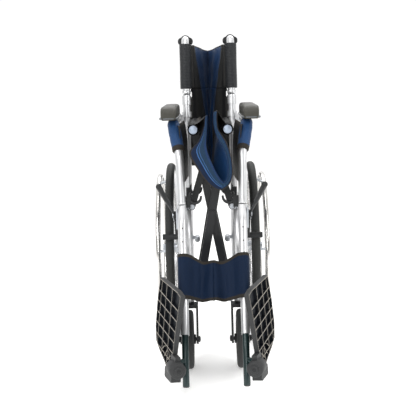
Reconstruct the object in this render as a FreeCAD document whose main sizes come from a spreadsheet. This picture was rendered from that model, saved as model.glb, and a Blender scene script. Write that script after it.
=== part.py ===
# Folding wheelchair, modelled collapsed: two side frames joined by a double
# cross brace, seen with the front of the chair towards -Y.  +X is to the right
# of someone facing the chair, +Z is up, and the wheels stand on Z = 0.
# All lengths are millimetres.  Depths are counted from the rear axle and every
# piece is shifted by axle_y so that the origin lies under the middle of the chair.
import FreeCAD, Part
import os, re, math
import Sketcher

V = FreeCAD.Vector
doc = FreeCAD.newDocument("folding_wheelchair")

# ----------------------------------------------------------------- dimensions
CELLS = [
    ("axle_y", 210.3, "shift from rear axle to the middle of the chair"),
    ("tube_r", 11.1, "frame tube outer radius (7/8 inch tube)"),
    ("bore_r", 9.5, "frame tube bore radius"),
    ("rear_x", 67.5, "rear upright, half spacing when folded"),
    ("rear_y", -10, "rear upright depth"),
    ("rear_foot_z", 112, "lower end of the rear upright"),
    ("recline_z", 430, "where the rear upright starts to lean back"),
    ("hinge_z", 712, "top of the rear upright"),
    ("hinge_y", 17.2, "depth of the rear upright at its top"),
    ("seat_z", 420, "side seat tube height"),
    ("front_x", 79, "front upright, half spacing when folded"),
    ("front_y", -362, "front upright depth"),
    ("front_top_z", 436, "top of the front upright"),
    ("bend_z", 392, "bend from upright into legrest hanger"),
    ("hang_x", 75.5, "hanger end, half spacing"),
    ("hang_y", -520, "hanger end depth"),
    ("hang_z", 130, "hanger end height"),
    ("low_z", 190, "lower side tube height"),
    ("cast_x", 68, "caster stem half spacing"),
    ("cast_y", -338, "caster stem depth"),
    ("house_r", 15, "caster stem housing radius"),
    ("house_z0", 172, "caster stem housing bottom"),
    ("house_z1", 232, "caster stem housing top"),
    ("stem_r", 8, "caster stem radius"),
    ("run", 0.05, "running clearance on a radius"),
    ("piv_x", 44, "cross brace lower pivot, half spacing when folded"),
    ("piv_z", 164, "cross brace lower pivot height"),
    ("rail_z", 632, "seat rail height when folded"),
    ("rail_open_z", 452, "seat rail height when unfolded"),
    ("rail_y0", -385, "seat rail front end"),
    ("rail_y1", 2, "seat rail rear end"),
    ("leg_w", 22, "cross brace bar width"),
    ("leg_t", 14, "cross brace bar thickness"),
    ("gap_t", 2, "gap between crossing bars"),
    ("brace_y1", -250, "middle of the front cross"),
    ("brace_y2", -80, "middle of the rear cross"),
    ("pin_r", 5, "cross brace pivot pin radius"),
    ("lug_t", 6, "pivot lug thickness"),
    ("collar_r", 12, "cross brace lower collar radius"),
    ("link_r", 4, "small pivot pin radius"),
    ("link_x", 54, "fold link frame pivot, half spacing"),
    ("link_z", 417.9, "fold link frame pivot height"),
    ("link_px", 22.9, "fold link brace end, half spacing"),
    ("link_pz", 520, "fold link brace end height"),
    ("link_w", 18, "fold link width"),
    ("link_t", 10, "fold link thickness"),
    ("link_y", -276, "fold link front face depth"),
    ("wheel_x", 119, "rear wheel half spacing"),
    ("wheel_z", 256, "rear wheel radius and axle height"),
    ("tyre_r", 12.3, "rear tyre section radius"),
    ("rim_r0", 224, "rim inner radius"),
    ("rim_r1", 237, "rim outer radius"),
    ("rim_hw", 10.5, "rim half width"),
    ("axle_r", 6, "rear axle radius"),
    ("hub_r", 16, "rear hub barrel radius"),
    ("flange_r", 28, "rear hub flange radius"),
    ("spoke_r", 1.2, "wire spoke radius"),
    ("ring_x", 152.4, "handrim half spacing"),
    ("ring_r", 217, "handrim ring radius"),
    ("ring_t", 8, "handrim tube radius"),
    ("cwheel_r", 78, "caster wheel radius"),
    ("cwheel_w", 23, "caster wheel width"),
    ("chub_r", 58, "caster hub radius"),
    ("trail", 37, "caster trail"),
    ("fork_x", 21.4, "caster fork leg offset"),
    ("fork_t", 5.6, "caster fork leg thickness"),
    ("ext_r", 8.5, "legrest extension tube radius"),
    ("ext_out", 128, "extension tube length below the hanger"),
    ("ext_in", 110, "extension tube length inside the hanger"),
    ("plate_t", 12, "footplate thickness"),
    ("plate_yaw", 18, "footplate yaw in degrees"),
    ("plate_tilt", 4, "footplate inward lean in degrees"),
    ("plate_x", 90, "footplate corner half spacing"),
    ("plate_y", -648, "footplate corner depth"),
    ("plate_z", 76, "footplate corner height"),
    ("cell", 19, "footplate pocket size"),
    ("rib", 3, "footplate rib thickness"),
    ("pocket_d", 8, "footplate pocket depth"),
    ("plate_hub_r", 20, "footplate hinge hub radius"),
    ("rod_r", 7, "footplate hinge rod radius"),
    ("arm_z", 642, "armrest tube height"),
    ("arm_x", 98, "armrest tube half spacing"),
    ("arm_piv_y", -12, "armrest hinge depth"),
    ("pad_x0", 86, "arm pad inner face"),
    ("pad_w", 45, "arm pad width"),
    ("pad_z0", 653.2, "arm pad underside"),
    ("pad_h", 36.5, "arm pad height"),
    ("pad_y0", -325, "arm pad front"),
    ("pad_y1", -35, "arm pad rear"),
    ("grip_z", 876, "push handle height"),
    ("grip_y0", 75, "push grip front"),
    ("grip_y1", 195, "push grip rear"),
    ("grip_r", 16, "push grip radius"),
    ("grip_flange", 24, "push grip flange radius"),
    ("sleeve_r", 17.5, "upright sleeve radius"),
    ("sleeve_z0", 731, "upright sleeve bottom"),
    ("sleeve_z1", 863, "upright sleeve top"),
    ("back_z0", 500, "back upholstery bottom"),
    ("back_zm", 729, "back upholstery, split below the hinge"),
    ("back_zn", 731, "back upholstery, split above the hinge"),
    ("back_z1", 860, "back upholstery top"),
    ("strap_t", 4, "calf strap thickness"),
    ("strap_h1", 120, "calf strap height along the hanger"),
    ("lever_y", -350, "parking brake lever pivot depth"),
    ("lever_z", 408, "parking brake lever pivot height"),
    ("shoe_y", -300, "parking brake shoe pivot depth"),
    ("shoe_z", 392, "parking brake shoe pivot height"),
    ("shoe_r", 8, "parking brake shoe bar radius"),
    ("shoe_gap", 0.3, "gap between brake shoe and tyre"),
    ("shoe_bar_z", 333, "parking brake shoe bar height"),
    ("saddle_y1", -335, "front rail saddle depth"),
    ("saddle_y2", -140, "rear rail saddle depth"),
    ("saddle_w", 18, "rail saddle width"),
    ("saddle_t", 6, "rail saddle wall"),
]
sheet = doc.addObject("Spreadsheet::Sheet", "dims")
for i, (alias, value, note) in enumerate(CELLS, 1):
    sheet.set("A%d" % i, note)
    sheet.set("B%d" % i, str(value))
    sheet.setAlias("B%d" % i, alias)
doc.recompute()
NAMES = {a for a, _, _ in CELLS}


def cell(name):
    return float(sheet.get(name))


def tokens(e):
    if isinstance(e, (int, float)):
        e = "%.6f" % e
    return re.findall(r"[+-]|[A-Za-z_]\w*|\d+\.?\d*", e)


def num(e):
    """Value of a sum of cell names and numbers, such as '- rear_x + 3'."""
    total, sign = 0.0, 1.0
    for k in tokens(e):
        if k == "-":
            sign = -sign
        elif k == "+":
            pass
        else:
            total += sign * (cell(k) if k in NAMES else float(k))
            sign = 1.0
    return total


def expr(e):
    """The same sum as an expression on the sheet."""
    return " ".join("dims." + k if k in NAMES else k for k in tokens(e))


def vec(p):
    return V(num(p[0]), num(p[1]), num(p[2]))


def dist_expr(p, q):
    return "sqrt(" + " + ".join("((%s) - (%s))^2" % (expr(b), expr(a)) for a, b in zip(p, q)) + ")"


def aim(direction):
    return FreeCAD.Rotation(V(0, 0, 1), direction)


def cyl(name, p, q, r):
    """Round bar from p to q."""
    o = doc.addObject("Part::Cylinder", name)
    o.setExpression("Radius", expr(r))
    o.setExpression("Height", dist_expr(p, q))
    a, b = vec(p), vec(q)
    o.Placement = FreeCAD.Placement(a, aim(b - a))
    return o


def cone(name, p, q, r1, r2):
    o = doc.addObject("Part::Cone", name)
    o.setExpression("Radius1", expr(r1))
    o.setExpression("Radius2", expr(r2))
    o.setExpression("Height", dist_expr(p, q))
    a, b = vec(p), vec(q)
    o.Placement = FreeCAD.Placement(a, aim(b - a))
    return o


def ball(name, p, r):
    o = doc.addObject("Part::Sphere", name)
    o.setExpression("Radius", expr(r))
    o.Placement = FreeCAD.Placement(vec(p), FreeCAD.Rotation())
    return o


def box(name, lo, hi):
    """Block between two corners."""
    o = doc.addObject("Part::Box", name)
    for prop, k in (("Length", 0), ("Width", 1), ("Height", 2)):
        o.setExpression(prop, "(%s) - (%s)" % (expr(hi[k]), expr(lo[k])))
    o.Placement = FreeCAD.Placement(vec(lo), FreeCAD.Rotation())
    return o


def bar_xz(name, p, q, w, y0, y1):
    """Flat bar in the XZ plane from p to q (x, z), width w, between two depths."""
    o = doc.addObject("Part::Box", name)
    o.setExpression("Length", dist_expr(p, q))
    o.setExpression("Width", "(%s) - (%s)" % (expr(y1), expr(y0)))
    o.setExpression("Height", expr(w))
    a = V(num(p[0]), num(y0), num(p[1]))
    b = V(num(q[0]), num(y0), num(q[1]))
    d = (b - a).normalize()
    up = V(-d.z, 0, d.x)
    m = FreeCAD.Matrix(d.x, 0, up.x, 0, 0, 1, 0, 0, d.z, 0, up.z, 0, 0, 0, 0, 1)
    base = a - up * (num(w) / 2)
    if up.z < 0:
        up = -up
        m = FreeCAD.Matrix(-d.x, 0, up.x, 0, 0, 1, 0, 0, -d.z, 0, up.z, 0, 0, 0, 0, 1)
        base = b - up * (num(w) / 2)
    o.Placement = FreeCAD.Placement(base, FreeCAD.Placement(m).Rotation)
    return o


def bar_yz(name, p, q, w, x0, x1):
    """Flat bar in the YZ plane from p to q (y, z), width w, between two x values."""
    o = doc.addObject("Part::Box", name)
    o.setExpression("Length", "(%s) - (%s)" % (expr(x1), expr(x0)))
    o.setExpression("Width", dist_expr(p, q))
    o.setExpression("Height", expr(w))
    a = V(num(x0), num(p[0]), num(p[1]))
    b = V(num(x0), num(q[0]), num(q[1]))
    ang = math.degrees(math.atan2(b.z - a.z, b.y - a.y))
    rot = FreeCAD.Rotation(V(1, 0, 0), ang)
    o.Placement = FreeCAD.Placement(a - rot.multVec(V(0, 0, num(w) / 2)), rot)
    return o


def path(points, bend):
    """Polyline with tangent arcs of the given radii at its inner points."""
    pts = [vec(p) for p in points]
    edges, start = [], pts[0]
    for i in range(1, len(pts) - 1):
        a, b, c = pts[i - 1], pts[i], pts[i + 1]
        u, w = (a - b).normalize(), (c - b).normalize()
        turn = math.pi - u.getAngle(w)
        R = bend[i - 1]
        t = R * math.tan(turn / 2)
        p1, p2 = b + u * t, b + w * t
        mid_dir = (u + w).normalize()
        centre = b + mid_dir * (R / math.cos(turn / 2))
        pm = centre - mid_dir * R
        edges.append(Part.LineSegment(start, p1).toShape())
        edges.append(Part.Arc(p1, pm, p2).toShape())
        start = p2
    edges.append(Part.LineSegment(start, pts[-1]).toShape())
    return Part.Wire(edges), pts[0], ((pts[1] - pts[0]).normalize())


def pipe(name, points, bend, r):
    """Bent round tube: its centre line leaves every plane, so it is swept here."""
    w, p0, d0 = path(points, bend)
    section = Part.Wire([Part.Circle(p0, d0, num(r)).toShape()])
    shell = w.makePipeShell([section], True, False)
    o = doc.addObject("Part::Feature", name)
    o.Shape = shell
    o.Placement = FreeCAD.Placement()
    return o


def torus(name, c, r1, r2):
    """Ring about an axis along X."""
    o = doc.addObject("Part::Torus", name)
    o.setExpression("Radius1", expr(r1))
    o.setExpression("Radius2", expr(r2))
    o.Placement = FreeCAD.Placement(vec(c), FreeCAD.Rotation(V(0, 1, 0), 90))
    return o


def fuse(name, objs):
    if len(objs) == 1:
        return objs[0]
    o = doc.addObject("Part::MultiFuse", name)
    o.Shapes = objs
    return o


def cut(name, base, tool):
    o = doc.addObject("Part::Cut", name)
    o.Base = base
    o.Tool = tool
    return o


def common(name, objs):
    o = doc.addObject("Part::MultiCommon", name)
    o.Shapes = objs
    return o


def group(name, objs):
    """Separate solids that share one node."""
    o = doc.addObject("Part::Compound", name)
    o.Links = objs
    return o


def polygon(body, name, plane, pts, offset=None):
    """Closed sketch polygon with each corner tied to cells."""
    sk = body.newObject("Sketcher::SketchObject", name)
    org = [f for f in body.Origin.OriginFeatures if f.Role == plane][0]
    sk.AttachmentSupport = [(org, "")]
    sk.MapMode = "FlatFace"
    n = len(pts)
    xy = [(num(a), num(b)) for a, b in pts]
    for i in range(n):
        a, b = xy[i], xy[(i + 1) % n]
        sk.addGeometry(Part.LineSegment(V(a[0], a[1], 0), V(b[0], b[1], 0)), False)
    for i in range(n):
        sk.addConstraint(Sketcher.Constraint("Coincident", i, 2, (i + 1) % n, 1))
    for i in range(n):
        for kind, axis, val, e in (("DistanceX", -2, xy[i][0], pts[i][0]),
                                   ("DistanceY", -1, xy[i][1], pts[i][1])):
            if abs(val) < 1e-9:
                sk.addConstraint(Sketcher.Constraint("PointOnObject", i, 1, axis))
            elif val > 0:
                k = sk.addConstraint(Sketcher.Constraint(kind, -1, 1, i, 1, val))
                sk.setExpression("Constraints[%d]" % k, expr(e))
            else:
                k = sk.addConstraint(Sketcher.Constraint(kind, i, 1, -1, 1, -val))
                sk.setExpression("Constraints[%d]" % k, "-(%s)" % expr(e))
    return sk


def new_body(name):
    return doc.addObject("PartDesign::Body", name)


def padded(name, plane, pts, length):
    """Body: one polygon padded along its plane's normal."""
    b = new_body(name)
    sk = polygon(b, name + "_sketch", plane, pts)
    p = b.newObject("PartDesign::Pad", name + "_pad")
    p.Profile = sk
    p.setExpression("Length", expr(length))
    sk.Visibility = False
    return b, p


def turned(name, pts):
    """Body: profile (x, radius) turned about the body's X axis."""
    b = new_body(name)
    sk = polygon(b, name + "_sketch", "XY_Plane", pts)
    r = b.newObject("PartDesign::Revolution", name + "_turn")
    r.Profile = sk
    r.ReferenceAxis = (sk, ["H_Axis"])
    r.Angle = 360
    return b


nodes = []


def node(label, obj):
    """Name a finished left or middle piece and shift it into the chair's frame."""
    obj.Label = label
    pl = obj.Placement
    obj.Placement = FreeCAD.Placement(pl.Base + V(0, num("axle_y"), 0), pl.Rotation)
    obj.setExpression("Placement.Base.y", "dims.axle_y + (%r)" % pl.Base.y)
    nodes.append(obj)
    return obj


def mirrored(label, src):
    """Right-hand piece: the left one reflected in the plane X = 0."""
    o = doc.addObject("Part::Mirroring", label)
    o.Source = src
    o.Normal = V(1, 0, 0)
    o.Base = V(0, 0, 0)
    o.Label = label
    nodes.append(o)
    return o


def pair(stem, obj):
    a = node(stem + "_left", obj)
    b = mirrored(stem + "_right", a)
    return a, b


# ------------------------------------------------------- side frame (welded)
# rear upright, seat tube, front upright running into the legrest hanger, lower
# tube, caster stem housing, axle plate and pivot lugs
REAR = [("- rear_x", "rear_y", "rear_foot_z"), ("- rear_x", "rear_y", "recline_z"),
        ("- rear_x", "hinge_y", "hinge_z")]
FRONT = [("- front_x", "front_y", "front_top_z"), ("- front_x", "front_y", "bend_z"),
         ("- hang_x", "hang_y", "hang_z")]
SEAT = [("- rear_x", "rear_y", "seat_z"), ("- front_x", "front_y", "seat_z")]


def on_line(p, q, z):
    """Point of the line p-q at a given height, as plain numbers."""
    a, b = vec(p), vec(q)
    k = (z - a.z) / (b.z - a.z)
    c = a + (b - a) * k
    return (c.x, c.y, c.z)


def at(p, q, k):
    a, b = vec(p), vec(q)
    c = a + (b - a) * k
    return (c.x, c.y, c.z)


outer = [
    pipe("rear_upright", REAR, [150], "tube_r"),
    cyl("seat_tube", SEAT[0], SEAT[1], "tube_r"),
    pipe("front_upright", FRONT, [55], "tube_r"),
    cyl("lower_tube", ("- rear_x", "rear_y", "low_z"), ("- cast_x", "cast_y", "low_z"), "tube_r"),
    cyl("stem_housing", ("- cast_x", "cast_y", "house_z0"), ("- cast_x", "cast_y", "house_z1"), "house_r"),
    cyl("caster_upright", ("- cast_x", "cast_y", "house_z1"), ("- cast_x", "cast_y", "seat_z - 2"), "tube_r"),
    box("axle_plate", ("- rear_x - 17.1", "- 32", "wheel_z - 40"), ("- rear_x - 7", "32", "wheel_z + 40")),
    box("plug_arm", ("- rear_x + 8", "rear_y - 7", "282"), ("- rear_x + 24", "rear_y + 3", "292")),
    cyl("plug_barrel", ("- rear_x + 22.5", "rear_y", "287"), ("- rear_x + 22.5", "rear_y - 40", "287"), "8.5"),
]
for k, (y0, y1) in enumerate((("brace_y1 - 22", "brace_y1 - 16"), ("brace_y1 + 16", "brace_y1 + 22"),
                              ("brace_y2 - 22", "brace_y2 - 16"), ("brace_y2 + 16", "brace_y2 + 22"))):
    outer.append(bar_xz("pivot_lug%d" % k, ("- piv_x", "piv_z"), ("- rear_x + 2", "low_z"), "leg_w", y0, y1))
    outer.append(cyl("pivot_eye%d" % k, ("- piv_x", y0, "piv_z"), ("- piv_x", y1, "piv_z"), "11"))
outer.append(bar_xz("link_lug", ("- link_x", "link_z"), ("- front_x + 8", "seat_z"), "16", "link_y + 10.5", "link_y + 16.5"))
outer.append(cyl("link_lug_eye", ("- link_x", "link_y + 10.5", "link_z"), ("- link_x", "link_y + 16.5", "link_z"), "8"))
h_lo = on_line(FRONT[1], FRONT[2], num("hang_z") - 3)
inner = [
    cyl("rear_upright_socket", ("- rear_x", "rear_y", "rear_foot_z - 2"), ("- rear_x", "rear_y", "rear_foot_z + 66"), "bore_r"),
    pipe("rear_upright_bore", [("- rear_x", "rear_y", "rear_foot_z + 69"), REAR[1], on_line(REAR[1], REAR[2], num("hinge_z") + 2)], [150], "bore_r"),
    cyl("seat_tube_bore", SEAT[0], SEAT[1], "bore_r"),
    pipe("front_upright_bore", [("- front_x", "front_y", "front_top_z + 2"), FRONT[1], h_lo], [55], "bore_r"),
    cyl("lower_tube_bore", ("- rear_x", "rear_y", "low_z"), at(("- rear_x", "rear_y", "low_z"), ("- cast_x", "cast_y", "low_z"), 0.94), "bore_r"),
    cyl("stem_bore", ("- cast_x", "cast_y", "house_z0 - 2"), ("- cast_x", "cast_y", "house_z0 + 60"), "stem_r + run"),
    cyl("caster_upright_bore", ("- cast_x", "cast_y", "house_z1 + 4"), ("- cast_x", "cast_y", "seat_z - 14"), "bore_r"),
    cyl("axle_bore", ("- rear_x - 19", "0", "wheel_z"), ("- rear_x - 4", "0", "wheel_z"), "axle_r"),
    cyl("pivot_bore1", ("- piv_x", "brace_y1 - 24", "piv_z"), ("- piv_x", "brace_y1 + 24", "piv_z"), "pin_r"),
    cyl("pivot_bore2", ("- piv_x", "brace_y2 - 24", "piv_z"), ("- piv_x", "brace_y2 + 24", "piv_z"), "pin_r"),
    cyl("link_bore", ("- link_x", "link_y + 10", "link_z"), ("- link_x", "link_y + 20", "link_z"), "link_r"),
]
frame_outer = fuse("side_frame_outer", outer)
frame_inner = fuse("side_frame_bores", inner)
side_l, side_r = pair("side_frame", cut("side_frame_weldment", frame_outer, frame_inner))

# ------------------------------------------- hooks that the seat rails drop into
hooks = []
for k, y in enumerate(("saddle_y1", "saddle_y2")):
    y0, y1 = y + " - 9", y + " + 9"
    ring = cyl("hook_ring%d" % k, ("- piv_x", y0, "rail_open_z"), ("- piv_x", y1, "rail_open_z"), "tube_r + 1.2 + saddle_t")
    arm = box("hook_arm%d" % k, ("- piv_x - 28", y0, "rail_open_z - 27"), ("- piv_x - 12.5", y1, "rail_open_z + 2"))
    solid = fuse("hook_solid%d" % k, [ring, arm])
    hole = cyl("hook_hole%d" % k, ("- piv_x", y + " - 10", "rail_open_z"), ("- piv_x", y + " + 10", "rail_open_z"), "tube_r + 1.2")
    top = box("hook_top%d" % k, ("- piv_x - 12.3", y + " - 10", "rail_open_z + 2"), ("- piv_x + 30", y + " + 10", "rail_open_z + 40"))
    slot = box("hook_slot%d" % k, ("- piv_x - 12.3", y + " - 10", "rail_open_z"), ("- piv_x + 12.3", y + " + 10", "rail_open_z + 20"))
    seat_clear = cyl("hook_seat%d" % k, SEAT[0], SEAT[1], "tube_r + 0.02")
    tool = fuse("hook_tool%d" % k, [hole, top, slot, seat_clear])
    hooks.append(cut("hook%d" % k, solid, tool))
pair("rail_saddles", group("rail_saddle_group", hooks))

# ----------------------------------------------- parking brake on the seat tube
k_mid = (num("rear_y") + 310) / (num("rear_y") - num("front_y"))
c0, c1 = at(SEAT[0], SEAT[1], k_mid - 0.03), at(SEAT[0], SEAT[1], k_mid + 0.03)
clamp = fuse("brake_clamp_solid", [
    cyl("brake_clamp_ring", c0, c1, "tube_r + 4.5"),
    box("brake_clamp_arm", ("- 92.6", "- 321", "408"), ("- 78", "- 299", "426")),
    box("brake_plate", ("- 94.6", "- 364", "372"), ("- 91", "- 284", "424")),
    cyl("lever_pin", ("- 92", "lever_y", "lever_z"), ("- 103", "lever_y", "lever_z"), "link_r"),
    cyl("lever_pin_head", ("- 102.2", "lever_y", "lever_z"), ("- 104.6", "lever_y", "lever_z"), "7"),
    cyl("shoe_pin", ("- 92", "shoe_y", "shoe_z"), ("- 103", "shoe_y", "shoe_z"), "link_r"),
    cyl("shoe_pin_head", ("- 102.2", "shoe_y", "shoe_z"), ("- 104.6", "shoe_y", "shoe_z"), "7"),
])
pair("brake_bracket", cut("brake_bracket_part", clamp, cyl("brake_clamp_bore", at(SEAT[0], SEAT[1], k_mid - 0.05), at(SEAT[0], SEAT[1], k_mid + 0.05), "tube_r + 0.02")))

L0 = ("- 98.5", "lever_y", "lever_z")
L1 = ("- 135", "- 460", "502")
lever = cut("lever_arm", fuse("lever_solid", [
    cyl("lever_hub", ("- 95.1", "lever_y", "lever_z"), ("- 101.8", "lever_y", "lever_z"), "10"),
    cone("lever_rod", at(L0, L1, 0.055), at(L0, L1, 0.4), "3.1", "4.2")]),
    cyl("lever_bore", ("- 92", "lever_y", "lever_z"), ("- 104", "lever_y", "lever_z"), "link_r + run"))
grip = fuse("lever_grip", [cone("lever_grip_body", at(L0, L1, 0.4), at(L0, L1, 0.94), "5.6", "7.6"),
                           ball("lever_grip_end", at(L0, L1, 0.935), "7.6")])
pair("brake_lever", group("brake_lever_group", [lever, grip]))

bar_d = num("wheel_z") + num("shoe_r") + num("shoe_gap")
bar_y = -math.sqrt(bar_d ** 2 - (num("shoe_bar_z") - num("wheel_z")) ** 2)
shoe = fuse("shoe_solid", [
    cyl("shoe_hub", ("- 95.1", "shoe_y", "shoe_z"), ("- 101.8", "shoe_y", "shoe_z"), "10"),
    bar_yz("shoe_arm", ("shoe_y", "shoe_z"), (bar_y, "shoe_bar_z"), "14", "- 101.8", "- 95.1"),
    cyl("shoe_bar", ("- 95.1", bar_y, "shoe_bar_z"), ("- 137", bar_y, "shoe_bar_z"), "shoe_r")])
pair("brake_shoe", cut("brake_shoe_part", shoe, cyl("shoe_bore", ("- 90", "shoe_y", "shoe_z"), ("- 104", "shoe_y", "shoe_z"), "link_r + run")))

# ---------------------------- fittings on the rear upright: armrest hinge, back hinge
ring0 = on_line(REAR[1], REAR[2], 647)
ring1 = on_line(REAR[1], REAR[2], 663)
arm_clamp = cut("arm_clamp", fuse("arm_clamp_solid", [
    cyl("arm_clamp_ring", ring0, ring1, "tube_r + 4"),
    box("arm_clamp_lug", ("- 86.5", "arm_piv_y - 10", "arm_z - 10"), ("- 76", "14", "arm_z + 14")),
    cyl("arm_pin", ("- 84", "arm_piv_y", "arm_z"), ("- 110", "arm_piv_y", "arm_z"), "link_r"),
    cyl("arm_pin_head", ("- 109.4", "arm_piv_y", "arm_z"), ("- 112", "arm_piv_y", "arm_z"), "7.5")]),
    cyl("arm_clamp_bore", on_line(REAR[1], REAR[2], 600), on_line(REAR[1], REAR[2], 680), "tube_r + 0.02"))
h0 = on_line(REAR[1], REAR[2], 684)
h1 = on_line(REAR[1], REAR[2], 710)
HY, HZ = "hinge_y + 15", "hinge_z + 2.5"
hinge = cut("back_hinge", fuse("back_hinge_solid", [
    cyl("back_hinge_ring", h0, h1, "tube_r + 2.4"),
    box("back_hinge_web", ("- rear_x - 3", "hinge_y + 8", "hinge_z - 20"), ("- rear_x + 3", "hinge_y + 19", "hinge_z - 2")),
    cyl("back_hinge_knuckle", ("- rear_x - 3", HY, HZ), ("- rear_x + 3", HY, HZ), "5.5"),
    cyl("back_hinge_pin", ("- rear_x - 11", HY, HZ), ("- rear_x + 11", HY, HZ), "2.6")]),
    cyl("back_hinge_bore", on_line(REAR[1], REAR[2], 670), on_line(REAR[1], REAR[2], 722), "tube_r + 0.02"))
pair("cane_fittings", group("cane_fittings_group", [arm_clamp, hinge]))

# ------------------------------------------------------------- frame fasteners
he = vec(FRONT[2])
hd = (vec(FRONT[2]) - vec(FRONT[1])).normalize()


def hanger(t):
    c = he + hd * t
    return (c.x, c.y, c.z)


bolts = [
    cyl("front_pivot_pin", ("- piv_x", "brace_y1 - 25", "piv_z"), ("- piv_x", "brace_y1 + 25", "piv_z"), "pin_r"),
    cyl("rear_pivot_pin", ("- piv_x", "brace_y2 - 25", "piv_z"), ("- piv_x", "brace_y2 + 25", "piv_z"), "pin_r"),
    fuse("link_rivet", [cyl("link_rivet_pin", ("- link_x", "link_y - 2", "link_z"), ("- link_x", "link_y + 16.5", "link_z"), "link_r"),
                        cyl("link_rivet_head", ("- link_x", "link_y - 4", "link_z"), ("- link_x", "link_y - 0.5", "link_z"), "7")]),
    fuse("axle_bolt", [cyl("axle_shaft", ("- rear_x - 6.5", "0", "wheel_z"), ("- wheel_x - 30", "0", "wheel_z"), "axle_r"),
                       cyl("axle_cap", ("- wheel_x - 23.5", "0", "wheel_z"), ("- wheel_x - 31", "0", "wheel_z"), "11")]),
    cut("hanger_bush", cyl("hanger_bush_outer", hanger(-24), hanger(-0.5), "bore_r - 0.02"),
        cyl("hanger_bush_bore", hanger(-26), hanger(2), "ext_r + run")),
]
for k, z in enumerate((330, 281.5, 236)):
    bolts.append(cyl("upright_screw%d" % k, ("- rear_x", "rear_y - tube_r - 2.4", z), ("- rear_x", "rear_y - tube_r", z), "3.4"))
pair("frame_bolts", group("frame_bolts_group", bolts))

# --------------------------------------------------------------- armrest
ARM = [("- arm_x", "arm_piv_y - 3", "arm_z"), ("- arm_x", "- 285", "arm_z"), ("- 82", "- 345", "565"),
       ("- front_x - 1", "front_y", "front_top_z + 2.2")]
arm_solid = fuse("arm_solid", [pipe("arm_tube", ARM, [38, 70], "tube_r"),
                               cyl("arm_eye", ("- 108", "arm_piv_y", "arm_z"), ("- 88", "arm_piv_y", "arm_z"), "11.1")])
arm_bores = fuse("arm_bores", [
    pipe("arm_tube_bore", [("- arm_x", "- 26", "arm_z"), ARM[1], ARM[2], at(ARM[2], ARM[3], 1.01)], [38, 70], "bore_r"),
    cyl("arm_eye_bore", ("- 112", "arm_piv_y", "arm_z"), ("- 84", "arm_piv_y", "arm_z"), "link_r + run")])
arm_l, _ = pair("armrest_tube", cut("armrest_tube_part", arm_solid, arm_bores))

# moulded arm pad: side profile with a rolled-down nose, padded across its width
pad_body, pad_pad = padded("arm_pad_body", "YZ_Plane",
    [("pad_y0 + 3", "pad_z0"), ("pad_y1", "pad_z0"), ("pad_y1", "pad_z0 + pad_h - 6"), ("pad_y1 - 8", "pad_z0 + pad_h"),
     ("pad_y0 + 46", "pad_z0 + pad_h"), ("pad_y0 + 22", "pad_z0 + pad_h - 5"), ("pad_y0 + 6", "pad_z0 + pad_h - 15"),
     ("pad_y0", "pad_z0 + 11"), ("pad_y0", "pad_z0 + 3")], "pad_w")
doc.recompute()
long_edges = ["Edge%d" % (i + 1) for i, e in enumerate(pad_pad.Shape.Edges)
              if e.BoundBox.YLength > 200 and e.BoundBox.ZMin > num("pad_z0") + 5]
fil = pad_body.newObject("PartDesign::Fillet", "arm_pad_round")
fil.Base = (pad_pad, long_edges)
fil.Radius = 8
pad_body.Tip = fil
pad_body.Placement = FreeCAD.Placement(V(-num("pad_x0") - num("pad_w"), 0, 0), FreeCAD.Rotation())
pair("arm_pad", pad_body)

# fabric side guard and the padded sleeve on the armrest's front leg
g0, g1 = V(-78, -330, 475), V(-66, -35, 475)
gd = (g1 - g0)
panel = doc.addObject("Part::Box", "side_guard")
panel.Length, panel.Width, panel.Height = gd.Length, 4, 165
panel.Placement = FreeCAD.Placement(g0, FreeCAD.Rotation(V(0, 0, 1), math.degrees(math.atan2(gd.y, gd.x))))
s_top, s_bot = at(ARM[1], ARM[2], 0.14), at(ARM[1], ARM[2], 0.9)
guard_solid = fuse("side_guard_solid", [panel, cyl("leg_sleeve_outer", s_top, s_bot, "tube_r + 5.2")])
pair("side_panel", cut("side_guard_part", guard_solid, pipe("leg_sleeve_bore", ARM, [38, 70], "tube_r + 0.2")))

# ------------------------------------------------------- folding back uprights
CANE = [("- rear_x", "hinge_y + 0.4", "hinge_z + 2.6"), ("- rear_x", "hinge_y + 15.6", "grip_z"), ("- rear_x", "grip_y1 - 6", "grip_z")]
cane_solid = fuse("cane_solid", [
    pipe("cane_tube", CANE, [30], "tube_r"),
    cyl("cane_knuckle0", ("- rear_x - 9.6", HY, HZ), ("- rear_x - 3.2", HY, HZ), "5.5"),
    cyl("cane_knuckle1", ("- rear_x + 3.2", HY, HZ), ("- rear_x + 9.6", HY, HZ), "5.5"),
    box("cane_web0", ("- rear_x - 9.6", "hinge_y + 6", "hinge_z + 3"), ("- rear_x - 3.2", "hinge_y + 19", "hinge_z + 14")),
    box("cane_web1", ("- rear_x + 3.2", "hinge_y + 6", "hinge_z + 3"), ("- rear_x + 9.6", "hinge_y + 19", "hinge_z + 14"))])
cane_bores = fuse("cane_bores", [
    pipe("cane_bore", [on_line(CANE[0], CANE[1], num("hinge_z") + 0.5), CANE[1], ("- rear_x", "grip_y1 - 4", "grip_z")], [30], "bore_r"),
    cyl("cane_knuckle_notch", ("- rear_x - 3.2", HY, HZ), ("- rear_x + 3.2", HY, HZ), "6.1"),
    cyl("cane_pin_bore", ("- rear_x - 14", HY, HZ), ("- rear_x + 14", HY, HZ), "2.6 + run")])
pair("back_cane", cut("back_cane_part", cane_solid, cane_bores))

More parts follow.
